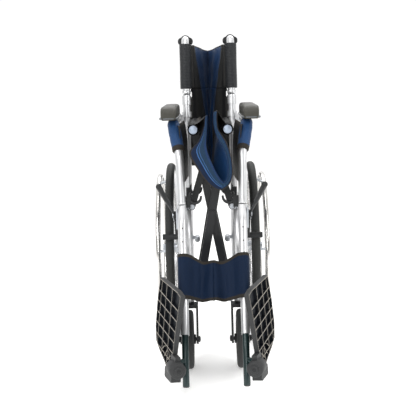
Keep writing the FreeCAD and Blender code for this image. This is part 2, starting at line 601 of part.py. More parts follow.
grip_part = cut("push_grip", fuse("push_grip_solid", [
    cyl("push_grip_body", ("- rear_x", "grip_y0", "grip_z"), ("- rear_x", "grip_y1", "grip_z"), "grip_r"),
    cyl("push_grip_flange", ("- rear_x", "grip_y0", "grip_z"), ("- rear_x", "grip_y0 + 6", "grip_z"), "grip_flange - 1.5")]),
    cyl("push_grip_bore", ("- rear_x", "grip_y0 - 2", "grip_z"), ("- rear_x", "grip_y1 - 5.9", "grip_z"), "tube_r + 0.02"))
pair("handgrip", grip_part)

sl0, sl1 = on_line(CANE[0], CANE[1], num("sleeve_z0")), on_line(CANE[0], CANE[1], num("sleeve_z1"))
pair("cane_sleeve", cut("cane_sleeve_part", cyl("cane_sleeve_outer", sl0, sl1, "sleeve_r"),
                        pipe("cane_sleeve_bore", [on_line(CANE[0], CANE[1], num("sleeve_z0") - 4), CANE[1], CANE[2]], [30], "tube_r + 0.1")))

# --------------------------------- back upholstery, folded in a deep V behind
for stem, z0, z1 in (("back_upper", "back_zn", "back_z1"), ("back_lower", "back_z0", "back_zm")):
    b, p = padded(stem + "_body", "XY_Plane",
        [("- 47.4", 36), ("- 0.2", 208.7), ("- 0.2", 219), ("- 2.6", 219), ("- 50", 38.4)], z1 + " - " + z0)
    b.Placement = FreeCAD.Placement(V(0, 0, num(z0)), FreeCAD.Rotation())
    pair(stem, b)

# ------------------------------------------------------------------ fold link
link = fuse("fold_link_solid", [
    bar_xz("fold_link_bar", ("- link_x", "link_z"), ("- link_px", "link_pz"), "link_w", "link_y", "link_y + link_t"),
    cyl("fold_link_eye0", ("- link_x", "link_y", "link_z"), ("- link_x", "link_y + link_t", "link_z"), "9"),
    cyl("fold_link_eye1", ("- link_px", "link_y", "link_pz"), ("- link_px", "link_y + link_t", "link_pz"), "9"),
    cyl("fold_link_rivet", ("- link_px", "link_y - 2.5", "link_pz"), ("- link_px", "link_y", "link_pz"), "6")])
pair("fold_link", cut("fold_link_part", link, cyl("fold_link_bore", ("- link_x", "link_y - 5", "link_z"), ("- link_x", "link_y + 12", "link_z"), "link_r + run")))

# ------------------------------------------------------------------ rear wheel
pair("tyre", torus("tyre_ring", ("- wheel_x", "0", "wheel_z"), "wheel_z - tyre_r", "tyre_r"))
rim_body = turned("rim_body", [("- rim_hw", "rim_r0 + 3"), ("- 7", "rim_r0"), ("7", "rim_r0"), ("rim_hw", "rim_r0 + 3"),
                               ("rim_hw", "rim_r1"), ("- rim_hw", "rim_r1")])
rim_body.Placement = FreeCAD.Placement(V(-num("wheel_x"), 0, num("wheel_z")), FreeCAD.Rotation())
pair("rim", cut("rim_part", rim_body, torus("rim_seat", ("- wheel_x", "0", "wheel_z"), "wheel_z - tyre_r", "tyre_r + 0.03")))

hub_body = turned("hub_body", [("- 23", "axle_r + run"), ("27", "axle_r + run"), ("27", "hub_r - 3"), ("19", "hub_r"), ("19", "flange_r"), ("16", "flange_r"),
                               ("15", "hub_r"), ("- 15", "hub_r"), ("- 16", "flange_r"), ("- 19", "flange_r"), ("- 19", "hub_r"), ("- 23", "hub_r - 3")])
hub_body.Placement = FreeCAD.Placement(V(-num("wheel_x"), 0, num("wheel_z")), FreeCAD.Rotation())
spokes = []
for k in range(28):
    a0 = 2 * math.pi * k / 28
    side = 1 if k % 2 == 0 else -1
    r0, r1 = num("flange_r") - 3, num("rim_r0") - 0.25
    x0 = -num("wheel_x") + side * 17.4
    p = (x0, r0 * math.cos(a0), num("wheel_z") + r0 * math.sin(a0))
    q = (-num("wheel_x") + side * 2.0, r1 * math.cos(a0), num("wheel_z") + r1 * math.sin(a0))
    spokes.append(cyl("spoke%02d" % k, p, q, "spoke_r"))
pair("hub_spokes", fuse("hub_spokes_part", [hub_body] + spokes))

ring_parts = [torus("handrim_ring", ("- ring_x", "0", "wheel_z"), "ring_r", "ring_t")]
for k in range(6):
    t = doc.addObject("Part::Box", "handrim_tab%d" % k)
    t.Length = num("ring_x") - num("wheel_x") - num("rim_hw") - 4
    t.Width, t.Height = 9, 13
    ang = 60 * k + 22
    rot = FreeCAD.Rotation(V(1, 0, 0), ang)
    t.Placement = FreeCAD.Placement(V(-num("ring_x") + 3.98, 0, num("wheel_z")) + rot.multVec(V(0, -4.5, num("ring_r") + 1)), rot)
    ring_parts.append(t)
pair("handrim", fuse("handrim_part", ring_parts))

# ----------------------------------------------------------------- front caster
CY = "cast_y - trail"
CX = "- cast_x"
fork = [
    cyl("caster_stem", (CX, "cast_y", "166"), (CX, "cast_y", "house_z0 + 56"), "stem_r"),
    cyl("caster_crown_top", (CX, "cast_y", "164"), (CX, "cast_y", "house_z0 - 1"), "14"),
    box("caster_crown", ("- cast_x - fork_x - 2.8", "cast_y - 20", "157"), ("- cast_x + fork_x + 2.8", "cast_y + 17", "166")),
]
for s in (-1, 1):
    x0 = "- cast_x - fork_x - 2.8" if s < 0 else "- cast_x + fork_x - 2.8"
    x1 = "- cast_x - fork_x + 2.8" if s < 0 else "- cast_x + fork_x + 2.8"
    fork.append(bar_yz("fork_leg%d" % (s + 1), ("cast_y - 2", "162"), (CY, "cwheel_r"), "26", x0, x1))
    fork.append(cyl("fork_eye%d" % (s + 1), (x0, CY, "cwheel_r"), (x1, CY, "cwheel_r"), "13"))
fork.append(cyl("fork_axle", ("- cast_x - fork_x - 8", CY, "cwheel_r"), ("- cast_x + fork_x + 8", CY, "cwheel_r"), "5"))
fork.append(cyl("fork_axle_nut", ("- cast_x + fork_x + 2", CY, "cwheel_r"), ("- cast_x + fork_x + 7", CY, "cwheel_r"), "8"))
fork.append(cyl("fork_axle_head", ("- cast_x - fork_x - 7", CY, "cwheel_r"), ("- cast_x - fork_x - 2", CY, "cwheel_r"), "8"))
fork_solid = fuse("caster_fork_solid", fork)
trim_top = box("caster_fork_trim", ("- cast_x - 40", "cast_y - 60", "166.01"), ("- cast_x - 15", "cast_y + 60", "240"))
trim_top2 = box("caster_fork_trim2", ("- cast_x + 15", "cast_y - 60", "166.01"), ("- cast_x + 40", "cast_y + 60", "240"))
pair("caster_fork", cut("caster_fork_part", fork_solid, fuse("caster_fork_trims", [trim_top, trim_top2])))
ct = turned("caster_tyre_body", [("- 11.5", "chub_r + 0.02"), ("11.5", "chub_r + 0.02"), ("11.5", "cwheel_r - 9"), ("8.5", "cwheel_r - 2.5"), ("4", "cwheel_r"),
                                 ("- 4", "cwheel_r"), ("- 8.5", "cwheel_r - 2.5"), ("- 11.5", "cwheel_r - 9")])
ct.Placement = FreeCAD.Placement(V(-num("cast_x"), num(CY), num("cwheel_r")), FreeCAD.Rotation())
pair("caster_tyre", ct)
ch = turned("caster_hub_body", [("- 17", "5 + run"), ("17", "5 + run"), ("17", "12"), ("4", "14"), ("4", "chub_r - 9"), ("11", "chub_r - 7"), ("11", "chub_r"),
                                ("- 11", "chub_r"), ("- 11", "chub_r - 7"), ("- 4", "chub_r - 9"), ("- 4", "14"), ("- 17", "12")])
ch.Placement = FreeCAD.Placement(V(-num("cast_x"), num(CY), num("cwheel_r")), FreeCAD.Rotation())
pair("caster_hub", ch)

# --------------------------------------------------- legrest extension, footplate
yaw, tilt = math.radians(num("plate_yaw")), math.radians(num("plate_tilt"))
e1 = V(-math.sin(yaw), math.cos(yaw), 0)
nin = V(math.cos(yaw), math.sin(yaw), 0)
e2 = V(0, 0, 1) * math.cos(tilt) + nin * math.sin(tilt)
e3 = e1.cross(e2)
A0 = V(-num("plate_x"), num("plate_y"), num("plate_z"))
plate_pl = FreeCAD.Placement(FreeCAD.Matrix(e1.x, e2.x, e3.x, A0.x, e1.y, e2.y, e3.y, A0.y, e1.z, e2.z, e3.z, A0.z, 0, 0, 0, 1))


def on_plate(s, t, n):
    p = A0 + e1 * s + e2 * t + e3 * n
    return (p.x, p.y, p.z)


HT, HN = 0.0, 4.5     # hinge axis of the plate
br0 = (-num("hang_x"), he.y + hd.y * 63, he.z + hd.z * 63)
rod_end = on_plate(30, HT, HN)
ext_solid = fuse("extension_solid", [cyl("extension_tube", hanger(-num("ext_in")), hanger(num("ext_out")), "ext_r"),
                                     cyl("extension_branch", br0, rod_end, "rod_r"),
                                     ball("extension_elbow", rod_end, "rod_r"),
                                     cyl("extension_rod", rod_end, on_plate(-18, HT, HN), "rod_r")])
ext_bore = cyl("extension_bore", hanger(-num("ext_in") - 2), hanger(40), "ext_r - 1.6")
pair("footrest_tube", cut("footrest_tube_part", ext_solid, ext_bore))

OUT = [(5, 184), (35, 190), (190, 192), (210, 127), (218, 60), (207, 24), (172, 8), (132, -4), (93, -19), (66, 2), (58, 12),
       (12, 12), (12, 24), (51, 30), (37, 84)]
plate, _ = padded("footplate_body", "XY_Plane", [(a, b) for a, b in OUT], "plate_t")
plate.Placement = plate_pl
INS = [(38, 178), (40, 183), (183, 185), (202, 126), (210, 61), (201, 29), (169, 15), (128, 3), (94, -10), (70, 8), (64, 19),
       (60, 32), (46, 85)]
inset, _ = padded("footplate_field", "XY_Plane", [(a, b) for a, b in INS], "pocket_d")
inset.Placement = FreeCAD.Placement(plate_pl.Base - e3 * 0.5, plate_pl.Rotation)
pitch = num("cell") + num("rib")
pockets = []
for i in range(8):
    for j in range(9):
        s0, t0 = 38 + i * pitch, -12 + j * pitch
        bx = doc.addObject("Part::Box", "pocket_%d_%d" % (i, j))
        bx.setExpression("Length", "dims.cell")
        bx.setExpression("Width", "dims.cell")
        bx.setExpression("Height", "dims.pocket_d + 2")
        q = on_plate(s0, t0, -1.0)
        bx.Placement = FreeCAD.Placement(V(*q), plate_pl.Rotation)
        pockets.append(bx)
pocket_all = doc.addObject("Part::Compound", "pocket_grid")
pocket_all.Links = pockets
field = common("pocket_field", [inset, pocket_all])
lobe = doc.addObject("Part::Box", "plate_hub_lobe")
lobe.Length, lobe.Width, lobe.Height = 30, 32, 20
lobe.Placement = FreeCAD.Placement(V(*on_plate(-14, -44, HN - 10)), plate_pl.Rotation)
neck = doc.addObject("Part::Box", "plate_hub_neck")
neck.Length, neck.Width, neck.Height = 32, 14, 14
neck.Placement = FreeCAD.Placement(V(*on_plate(-6, 10, -1)), plate_pl.Rotation)
hub_rod = fuse("plate_hub", [cyl("plate_hub_barrel", on_plate(-25, HT, HN), on_plate(22, HT, HN), "plate_hub_r"), lobe, neck])
plate_cut = cut("plate_pocketed", plate, field)
plate_fused = fuse("plate_with_hub", [plate_cut, hub_rod])
rod_bore = cyl("plate_hub_bore", on_plate(-18.5, HT, HN), on_plate(30, HT, HN), "rod_r + run")
slit = doc.addObject("Part::Box", "plate_hub_slit")
slit.Length, slit.Width, slit.Height = 60, 50, 2
slit.Placement = FreeCAD.Placement(V(*on_plate(-30, -48, HN - 1)), plate_pl.Rotation)
pair("footplate", cut("footplate_part", plate_fused, fuse("plate_clearances", [rod_bore, slit])))

# ------------------------------------------------------------------ calf strap
sdir = V(0, hd.y, hd.z).normalize()
sn = V(0, -abs(sdir.z), abs(sdir.y))      # forward normal of the hanger
sb = vec(on_line(FRONT[1], FRONT[2], 209)) + sn * (num("tube_r") + 1.5)
st = doc.addObject("Part::Box", "calf_strap_slab")
st.setExpression("Height", "dims.strap_h1")
st.setExpression("Width", "dims.strap_t")
st.Length = 91.8
rot = FreeCAD.Rotation(V(1, 0, 0), -math.degrees(math.atan2(-sdir.y, -sdir.z)))
st.Placement = FreeCAD.Placement(V(-92, sb.y, sb.z) + sn * num("strap_t"), rot)
pair("calf_strap", st)

# ------------------------------------------------------- cross brace, middle pieces
XL, XR = "- piv_x", "piv_x"


def brace(name, xb, xt, sgn, y_first):
    parts, holes = [], []
    for k, ym in enumerate(("brace_y1", "brace_y2")):
        y0 = ym + (" - leg_t - 1" if y_first else " + 1")
        y1 = ym + (" - 1" if y_first else " + leg_t + 1")
        parts.append(bar_xz("%s_leg%d" % (name, k), (xb, "piv_z"), (xt, "rail_z"), "leg_w", y0, y1))
        parts.append(cyl("%s_collar%d" % (name, k), (xb, ym + " - 15.5", "piv_z"), (xb, ym + " + 15.5", "piv_z"), "collar_r"))
        holes.append(cyl("%s_collar_bore%d" % (name, k), (xb, ym + " - 20", "piv_z"), (xb, ym + " + 20", "piv_z"), "pin_r + run"))
        cz = (num("piv_z") + num("rail_z")) / 2
        holes.append(cyl("%s_cross_bore%d" % (name, k), (0, ym + " - 30", cz), (0, ym + " + 30", cz), "pin_r + 0.02" if y_first else "pin_r + run"))
    parts.append(cyl(name + "_rail", (xt, "rail_y0", "rail_z"), (xt, "rail_y1", "rail_z"), "tube_r"))
    holes.append(cyl(name + "_rail_bore", (xt, "rail_y0 - 2", "rail_z"), (xt, "rail_y1 + 2", "rail_z"), "bore_r"))
    if not y_first:
        parts.append(cyl(name + "_boss", ("- link_px", "link_y + link_t + 0.5", "link_pz"), ("- link_px", "brace_y1 + 2", "link_pz"), "6"))
    else:
        parts.append(cyl(name + "_boss", ("link_px", "link_y + link_t + 0.5", "link_pz"), ("link_px", "brace_y1 - 12", "link_pz"), "6"))
    return cut(name + "_part", fuse(name + "_solid", parts), fuse(name + "_holes", holes))


node("brace_a", brace("brace_a", XL, XR, 1, True))
node("brace_b", brace("brace_b", XR, XL, -1, False))
cz = (num("piv_z") + num("rail_z")) / 2
cross = []
for k, ym in enumerate(("brace_y1", "brace_y2")):
    cross.append(fuse("cross_bolt%d" % k, [
        cyl("cross_bolt_shaft%d" % k, (0, ym + " - 19.5", cz), (0, ym + " + 20.5", cz), "pin_r"),
        cyl("cross_bolt_head%d" % k, (0, ym + " - 20.5", cz), (0, ym + " - 15.1", cz), "8.5"),
        cyl("cross_bolt_nut%d" % k, (0, ym + " + 15.3", cz), (0, ym + " + 20.5", cz), "8.5"),
        cyl("cross_washer%d" % k, (0, ym + " - 0.9", cz), (0, ym + " + 0.8", cz), "10")]))
node("brace_bolts", group("brace_bolts_group", cross))
for stem, x in (("rail_caps_a", "piv_x"), ("rail_caps_b", "- piv_x")):
    capf = fuse(stem + "_front", [cyl(stem + "_front_plug", (x, "rail_y0 + 0", "rail_z"), (x, "rail_y0 + 14", "rail_z"), "bore_r - 0.02"),
                                  cyl(stem + "_front_face", (x, "rail_y0 - 5", "rail_z"), (x, "rail_y0 - 0.02", "rail_z"), "12.6")])
    capr = fuse(stem + "_rear", [cyl(stem + "_rear_plug", (x, "rail_y1 - 14", "rail_z"), (x, "rail_y1", "rail_z"), "bore_r - 0.02"),
                                 cyl(stem + "_rear_face", (x, "rail_y1 + 0.02", "rail_z"), (x, "rail_y1 + 2.5", "rail_z"), "tube_r")])
    node(stem, group(stem + "_group", [capf, capr]))

# seat sling, one half per rail, hanging between the upper cross bars
for label, s in (("seat_left", -1), ("seat_right", 1)):
    poly = [(50, 643.5), (38, 643.5), (31.6, 636), (3.4, 484), (0.2, 468), (0.2, 478), (26, 634), (35.5, 648.5), (50, 648.5)]
    b = new_body(label + "_body")
    sk = polygon(b, label + "_sketch", "XZ_Plane", [(s * a, z) for a, z in poly])
    p = b.newObject("PartDesign::Pad", label + "_pad")
    p.Profile = sk
    p.setExpression("Length", "-dims.rail_y0 - 30.5")
    p.Reversed = False
    b.Placement = FreeCAD.Placement(V(0, -30, 0), FreeCAD.Rotation())
    node(label, b)

# ---------------------------------------------------------------- check, write
doc.recompute()
bad = [o.Name for o in doc.Objects if "Invalid" in o.State or "Error" in o.State]
if bad:
    raise SystemExit("objects that failed to rebuild: %s" % bad[:10])
total = FreeCAD.BoundBox()
for o in nodes:
    s = o.Shape
    if s.isNull() or not s.isValid() or not s.Solids or any(q.Volume <= 0 for q in s.Solids):
        raise SystemExit("sub-part is not a valid solid: " + o.Label)
    total.add(s.BoundBox)
print("nodes", len(nodes), "box X %.1f..%.1f Y %.1f..%.1f Z %.1f..%.1f" % (total.XMin, total.XMax, total.YMin, total.YMax, total.ZMin, total.ZMax))
os.makedirs("parts", exist_ok=True)
for o in nodes:
    o.Shape.exportStep("parts/%s.step" % o.Label)
    print("%-20s solids %2d volume %9.0f" % (o.Label, len(o.Shape.Solids), o.Shape.Volume))
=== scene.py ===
# Looks for the folded wheelchair: materials on every piece, and finer shapes for
# the upholstery, grips, pads and wheels.  Lengths below are millimetres counted
# from the rear axle; P() turns them into metres in the shared frame.
import bpy
import math
import numpy as np
from mathutils import Matrix, Vector


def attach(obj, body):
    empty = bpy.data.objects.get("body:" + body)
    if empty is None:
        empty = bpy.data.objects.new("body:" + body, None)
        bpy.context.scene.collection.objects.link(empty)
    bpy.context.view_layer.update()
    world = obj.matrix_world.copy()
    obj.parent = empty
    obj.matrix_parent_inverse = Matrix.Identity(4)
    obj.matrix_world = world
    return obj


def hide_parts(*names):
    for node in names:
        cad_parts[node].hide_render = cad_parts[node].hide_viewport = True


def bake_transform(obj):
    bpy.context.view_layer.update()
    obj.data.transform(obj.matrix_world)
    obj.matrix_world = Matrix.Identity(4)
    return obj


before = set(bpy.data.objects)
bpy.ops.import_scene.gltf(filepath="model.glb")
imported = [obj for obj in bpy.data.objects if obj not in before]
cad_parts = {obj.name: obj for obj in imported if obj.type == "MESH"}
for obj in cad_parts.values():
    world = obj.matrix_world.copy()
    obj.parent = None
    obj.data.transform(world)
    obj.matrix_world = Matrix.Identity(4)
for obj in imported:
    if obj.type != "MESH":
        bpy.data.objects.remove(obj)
Y0 = 210.3
rng = np.random.default_rng(7)


def P(x, y, z):
    return (x / 1000.0, (y + Y0) / 1000.0, z / 1000.0)


def A(pts):
    a = np.asarray(pts, float).copy()
    a[..., 1] += Y0
    return a / 1000.0


# ------------------------------------------------------------------ materials
def mat(name, color, rough=0.5, metal=0.0, bump=0.0, scale=300.0, vary=0.06, kind="noise", coat=0.0, sheen=0.0, stretch=(1, 1, 1), color2=None, spec=0.5):
    m = bpy.data.materials.new(name)
    m.use_nodes = True
    nt = m.node_tree
    b = nt.nodes["Principled BSDF"]
    b.inputs["Roughness"].default_value = rough
    b.inputs["Metallic"].default_value = metal
    b.inputs["Specular IOR Level"].default_value = spec
    if coat:
        b.inputs["Coat Weight"].default_value = coat
        b.inputs["Coat Roughness"].default_value = 0.15
    if sheen:
        b.inputs["Sheen Weight"].default_value = sheen
        b.inputs["Sheen Roughness"].default_value = 0.4
    tc = nt.nodes.new("ShaderNodeTexCoord")
    mp = nt.nodes.new("ShaderNodeMapping")
    mp.inputs["Scale"].default_value = stretch
    nt.links.new(tc.outputs["Object"], mp.inputs["Vector"])
    if kind == "noise":
        t = nt.nodes.new("ShaderNodeTexNoise")
        t.inputs["Scale"].default_value = scale
        t.inputs["Detail"].default_value = 4
        fac = t.outputs["Fac"]
    elif kind == "weave":
        t = nt.nodes.new("ShaderNodeTexVoronoi")
        t.inputs["Scale"].default_value = scale
        fac = t.outputs["Distance"]
    else:
        t = nt.nodes.new("ShaderNodeTexWave")
        t.inputs["Scale"].default_value = scale
        t.bands_direction = kind
        fac = t.outputs["Fac"]
    nt.links.new(mp.outputs["Vector"], t.inputs["Vector"])
    ramp = nt.nodes.new("ShaderNodeValToRGB")
    c = np.array(color[:3])
    c1 = np.clip(c * (1 - vary * 2), 0, 1)
    c2 = np.clip(np.array(color2) if color2 else c * (1 + vary * 2) + 0.002, 0, 1)
    ramp.color_ramp.elements[0].color = (*c1, 1)
    ramp.color_ramp.elements[1].color = (*c2, 1)
    ramp.color_ramp.elements[0].position = 0.3
    ramp.color_ramp.elements[1].position = 0.7
    nt.links.new(fac, ramp.inputs["Fac"])
    nt.links.new(ramp.outputs["Color"], b.inputs["Base Color"])
    if bump:
        bn = nt.nodes.new("ShaderNodeBump")
        bn.inputs["Strength"].default_value = bump
        bn.inputs["Distance"].default_value = 0.0006
        nt.links.new(fac, bn.inputs["Height"])
        nt.links.new(bn.outputs["Normal"], b.inputs["Normal"])
    m.diffuse_color = (*c, 1)
    return m


M = dict(
    silver=mat("silver_frame", (0.70, 0.705, 0.715), 0.37, 0.86, 0.04, 900, 0.02),
    rimsilver=mat("silver_rim", (0.60, 0.60, 0.61), 0.26, 0.9, 0.02, 700, 0.02),
    chrome=mat("polished_handrim", (0.66, 0.65, 0.63), 0.14, 1.0, 0.0, 500, 0.01),
    steel=mat("plated_steel", (0.42, 0.44, 0.47), 0.30, 0.85, 0.03, 800, 0.04),
    disc=mat("rail_disc", (0.30, 0.35, 0.43), 0.34, 0.55, 0.03, 800, 0.04),
    blackmetal=mat("black_coat", (0.010, 0.011, 0.013), 0.38, 0.0, 0.05, 900, 0.15, coat=0.12, spec=0.3),
    greentube=mat("dark_tube", (0.012, 0.030, 0.031), 0.28, 0.3, 0.03, 600, 0.12, coat=0.35, spec=0.4),
    plastic=mat("black_plastic", (0.013, 0.014, 0.015), 0.48, 0.0, 0.15, 1200, 0.15, spec=0.35),
    plate=mat("footplate_moulding", (0.032, 0.033, 0.034), 0.55, 0.0, 0.25, 1100, 0.15, spec=0.3),
    # painted shade: near-black copy of the footplate moulding for the recess floor and the rib sides
    pocket_painted_shade=mat("footplate_pocket", (0.006, 0.008, 0.012), 0.6, 0.0, 0.1, 1100, 0.15, spec=0.2),
    # painted highlight: pale colour on the top faces of the footplate ribs
    rib_painted_highlight=mat("rib_top_painted_highlight", (0.30, 0.275, 0.235), 0.6, 0.0, 0.2, 900, 0.15, spec=0.3),
    vinyl=mat("arm_pad_vinyl", (0.040, 0.038, 0.030), 0.50, 0.0, 0.45, 1500, 0.18, spec=0.35),
    # painted highlight: lighter grey for the arm pad's lower lip
    lip=mat("arm_pad_lip_painted_highlight", (0.085, 0.095, 0.105), 0.30, 0.0, 0.05, 900, 0.1, coat=0.3),
    rubber=mat("grip_rubber", (0.012, 0.013, 0.014), 0.55, 0.0, 0.25, 1400, 0.15, spec=0.35),
    sleeve=mat("ribbed_sleeve", (0.012, 0.0135, 0.016), 0.46, 0.0, 0.2, 1500, 0.15, sheen=0.03, spec=0.35),
    tyre=mat("tyre_rubber", (0.024, 0.025, 0.024), 0.62, 0.0, 0.25, 1100, 0.18, spec=0.3),
    caster=mat("caster_rubber", (0.035, 0.036, 0.036), 0.60, 0.0, 0.2, 900, 0.14, spec=0.3),
    blue=mat("blue_nylon", (0.0055, 0.027, 0.088), 0.52, 0.0, 0.40, 2600, 0.16, kind="weave", sheen=0.06, spec=0.22),
    # painted light: lighter copy of the blue nylon for lit surfaces (post sleeves, back cloth, right seat wall)
    blue_painted_lit=mat("blue_pad_painted_lit", (0.010, 0.046, 0.135), 0.50, 0.0, 0.35, 2400, 0.14, kind="weave", sheen=0.06, spec=0.22),
    # painted shade: darker copy of the blue nylon for the calf strap
    bluestrap_painted_shade=mat("blue_strap_painted_shade", (0.0014, 0.0105, 0.034), 0.52, 0.0, 0.40, 2600, 0.16, kind="weave", sheen=0.02, spec=0.14),
    # painted shade: darker copy of the blue upholstery for the seat's front face
    seatface_painted_shade=mat("blue_seat_face_painted_shade", (0.0060, 0.0265, 0.0600), 0.50, 0.0, 0.35, 2400, 0.14, kind="weave", sheen=0.03, spec=0.20),
    # painted shade: dark copy of the blue nylon for the seat's inner fold and the side band of its front
    blue_painted_shade=mat("blue_inner_painted_shade", (0.004, 0.012, 0.036), 0.60, 0.0, 0.35, 2400, 0.18, kind="weave", sheen=0.03, spec=0.15),
    # real seams, whose bright blue is a painted highlight along them
    thread=mat("seam_thread_painted_highlight", (0.035, 0.12, 0.32), 0.5, 0.0, 0.3, 3000, 0.15, spec=0.3),
    black=mat("black_nylon", (0.008, 0.0085, 0.0095), 0.60, 0.0, 0.35, 2600, 0.18, kind="weave", sheen=0.02, spec=0.18),
    greyband=mat("charcoal_band", (0.022, 0.022, 0.021), 0.62, 0.0, 0.45, 2200, 0.2, kind="weave", sheen=0.03, spec=0.18),
    binding=mat("binding_tape", (0.024, 0.0205, 0.0165), 0.66, 0.0, 0.5, 2600, 0.22, sheen=0.03, spec=0.18),
)



CAD_LOOK = {
    "side_frame": "silver", "rail_saddles": "plastic", "brake_bracket": "steel", "cane_fittings": "silver",
    "frame_bolts": "steel", "armrest_tube": "silver", "arm_pad": "vinyl", "side_panel": "black", "back_cane": "silver",
    "handgrip": "rubber", "cane_sleeve": "sleeve", "back_upper": "blue", "back_lower": "blue", "brake_lever": "plastic",
    "brake_shoe": "plastic", "fold_link": "plastic", "tyre": "tyre", "rim": "rimsilver", "hub_spokes": "chrome",
    "handrim": "chrome", "caster_fork": "blackmetal", "caster_tyre": "caster", "caster_hub": "plastic",
    "footrest_tube": "greentube", "footplate": "plate", "calf_strap": "blue", "brace_a": "blackmetal",
    "brace_b": "blackmetal", "brace_bolts": "blackmetal", "rail_caps_a": "steel", "rail_caps_b": "steel",
    "seat_left": "blue", "seat_right": "blue",
}
for name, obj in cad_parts.items():
    stem = name if name in CAD_LOOK else name.rsplit("_", 1)[0]
    look = M[CAD_LOOK[stem]]
    if len(obj.data.materials):
        for i in range(len(obj.data.materials)):
            obj.data.materials[i] = look
    else:
        obj.data.materials.append(look)


# ---------------------------------------------------------------- mesh helpers
def mesh(name, verts, faces, mats, idx=None, smooth=True):
    me = bpy.data.meshes.new(name)
    me.from_pydata([tuple(v) for v in verts], [], faces)
    for m in mats:
        me.materials.append(M[m])
    if idx is not None:
        me.polygons.foreach_set("material_index", np.asarray(idx, np.int32))
    if smooth:
        me.polygons.foreach_set("use_smooth", [True] * len(me.polygons))
    me.update()
    o = bpy.data.objects.new(name, me)
    bpy.context.scene.collection.objects.link(o)
    return o


def fix_normals(o):
    import bmesh
    bm = bmesh.new()
    bm.from_mesh(o.data)
    bmesh.ops.remove_doubles(bm, verts=bm.verts, dist=1e-6)
    bmesh.ops.recalc_face_normals(bm, faces=bm.faces)
    bm.to_mesh(o.data)
    bm.free()
    return o


def grid(name, pts, mats, index=None, close_u=False, close_v=False, cap=False):
    """pts[i][j] millimetres; index(i, j) gives the material slot of a face."""
    a = A(pts)
    nu, nv = a.shape[:2]
    v = a.reshape(-1, 3)
    faces, idx = [], []
    for i in range(nu if close_u else nu - 1):
        for j in range(nv if close_v else nv - 1):
            i2, j2 = (i + 1) % nu, (j + 1) % nv
            faces.append((i * nv + j, i2 * nv + j, i2 * nv + j2, i * nv + j2))
            idx.append(index(i, j) if index else 0)
    if cap and close_v:
        faces.append(tuple(reversed(range(nv))))
        faces.append(tuple((nu - 1) * nv + j for j in range(nv)))
        idx += [idx[0], idx[-1]]
    o = mesh(name, v, faces, mats, idx)
    return fix_normals(o)


def polyline(points, bends, step=4.0):
    pts = [np.array(p, float) for p in points]
    out = [pts[0]]
    for i in range(1, len(pts) - 1):
        a, b, c = pts[i - 1], pts[i], pts[i + 1]
        u = (a - b) / np.linalg.norm(a - b)
        w = (c - b) / np.linalg.norm(c - b)
        turn = math.pi - math.acos(np.clip(u @ w, -1, 1))
        R = bends[i - 1]
        t = R * math.tan(turn / 2)
        mid = (u + w) / np.linalg.norm(u + w)
        cen = b + mid * (R / math.cos(turn / 2))
        p1, p2 = b + u * t, b + w * t
        n = max(3, int(R * turn / step))
        r1 = p1 - cen
        r2 = p2 - cen
        for k in range(n + 1):
            f = k / n
            om = math.acos(np.clip(r1 @ r2 / (R * R), -1, 1))
            q = (math.sin((1 - f) * om) * r1 + math.sin(f * om) * r2) / math.sin(om)
            out.append(cen + q)
    out.append(pts[-1])
    return np.array(out)


def resample(path, step):
    path = np.asarray(path, float)
    d = np.r_[0, np.cumsum(np.linalg.norm(np.diff(path, axis=0), axis=1))]
    n = max(2, int(round(d[-1] / step)) + 1)
    s = np.linspace(0, d[-1], n)
    return np.stack([np.interp(s, d, path[:, k]) for k in range(3)], 1), s


def sweep(name, path, radius, look, seg=40, caps=True, mats=None, index=None, shape=None):
    """Round bar along a path; radius is a number or one per station."""
    path = np.asarray(path, float)
    n = len(path)
    rad = np.full(n, radius, float) if np.isscalar(radius) else np.asarray(radius, float)
    tan = np.gradient(path, axis=0)
    tan /= np.linalg.norm(tan, axis=1)[:, None]
    ref = np.array([1.0, 0, 0]) if abs(tan[0][0]) < 0.8 else np.array([0, 0, 1.0])
    nrm = ref - tan[0] * (ref @ tan[0])
    nrm /= np.linalg.norm(nrm)
    rings = []
    for i in range(n):
        nrm = nrm - tan[i] * (nrm @ tan[i])
        nrm /= np.linalg.norm(nrm)
        bi = np.cross(tan[i], nrm)
        ang = np.linspace(0, 2 * math.pi, seg, endpoint=False)
        k = shape(ang) if shape else 1.0
        rings.append(path[i] + rad[i] * ((np.cos(ang) * k)[:, None] * nrm + (np.sin(ang) * k)[:, None] * bi))
    return grid(name, np.array(rings), mats or [look], index, close_v=True, cap=caps)


def bar(name, p, q, r, look, seg=32, bevel=0.6):
    p, q = np.array(p, float), np.array(q, float)
    d = (q - p) / np.linalg.norm(q - p)
    L = np.linalg.norm(q - p)
    b = min(bevel, L / 3, r / 3)
    path = np.array([p, p + d * 1e-3, p + d * b, q - d * b, q - d * 1e-3, q])
    return sweep(name, path, [r * 0.3, r - b, r, r, r - b, r * 0.3], look, seg)


def box(name, lo, hi, look, rot=None, bevel=0.8):
    lo, hi = np.array(lo, float), np.array(hi, float)
    c = (lo + hi) / 2
    h = (hi - lo) / 2
    bpy.ops.mesh.primitive_cube_add(size=2)
    o = bpy.context.active_object
    o.name = name
    v = np.array([x.co for x in o.data.vertices]) * h
    if rot is not None:
        v = v @ np.array(rot).T
    for k, x in enumerate(o.data.vertices):
        x.co = P(*(v[k] + c))
    o.data.materials.append(M[look])
    if bevel:
        md = o.modifiers.new("b", "BEVEL")
        md.width = bevel / 1000
        md.segments = 3
        bpy.ops.object.modifier_apply(modifier="b")
    return o


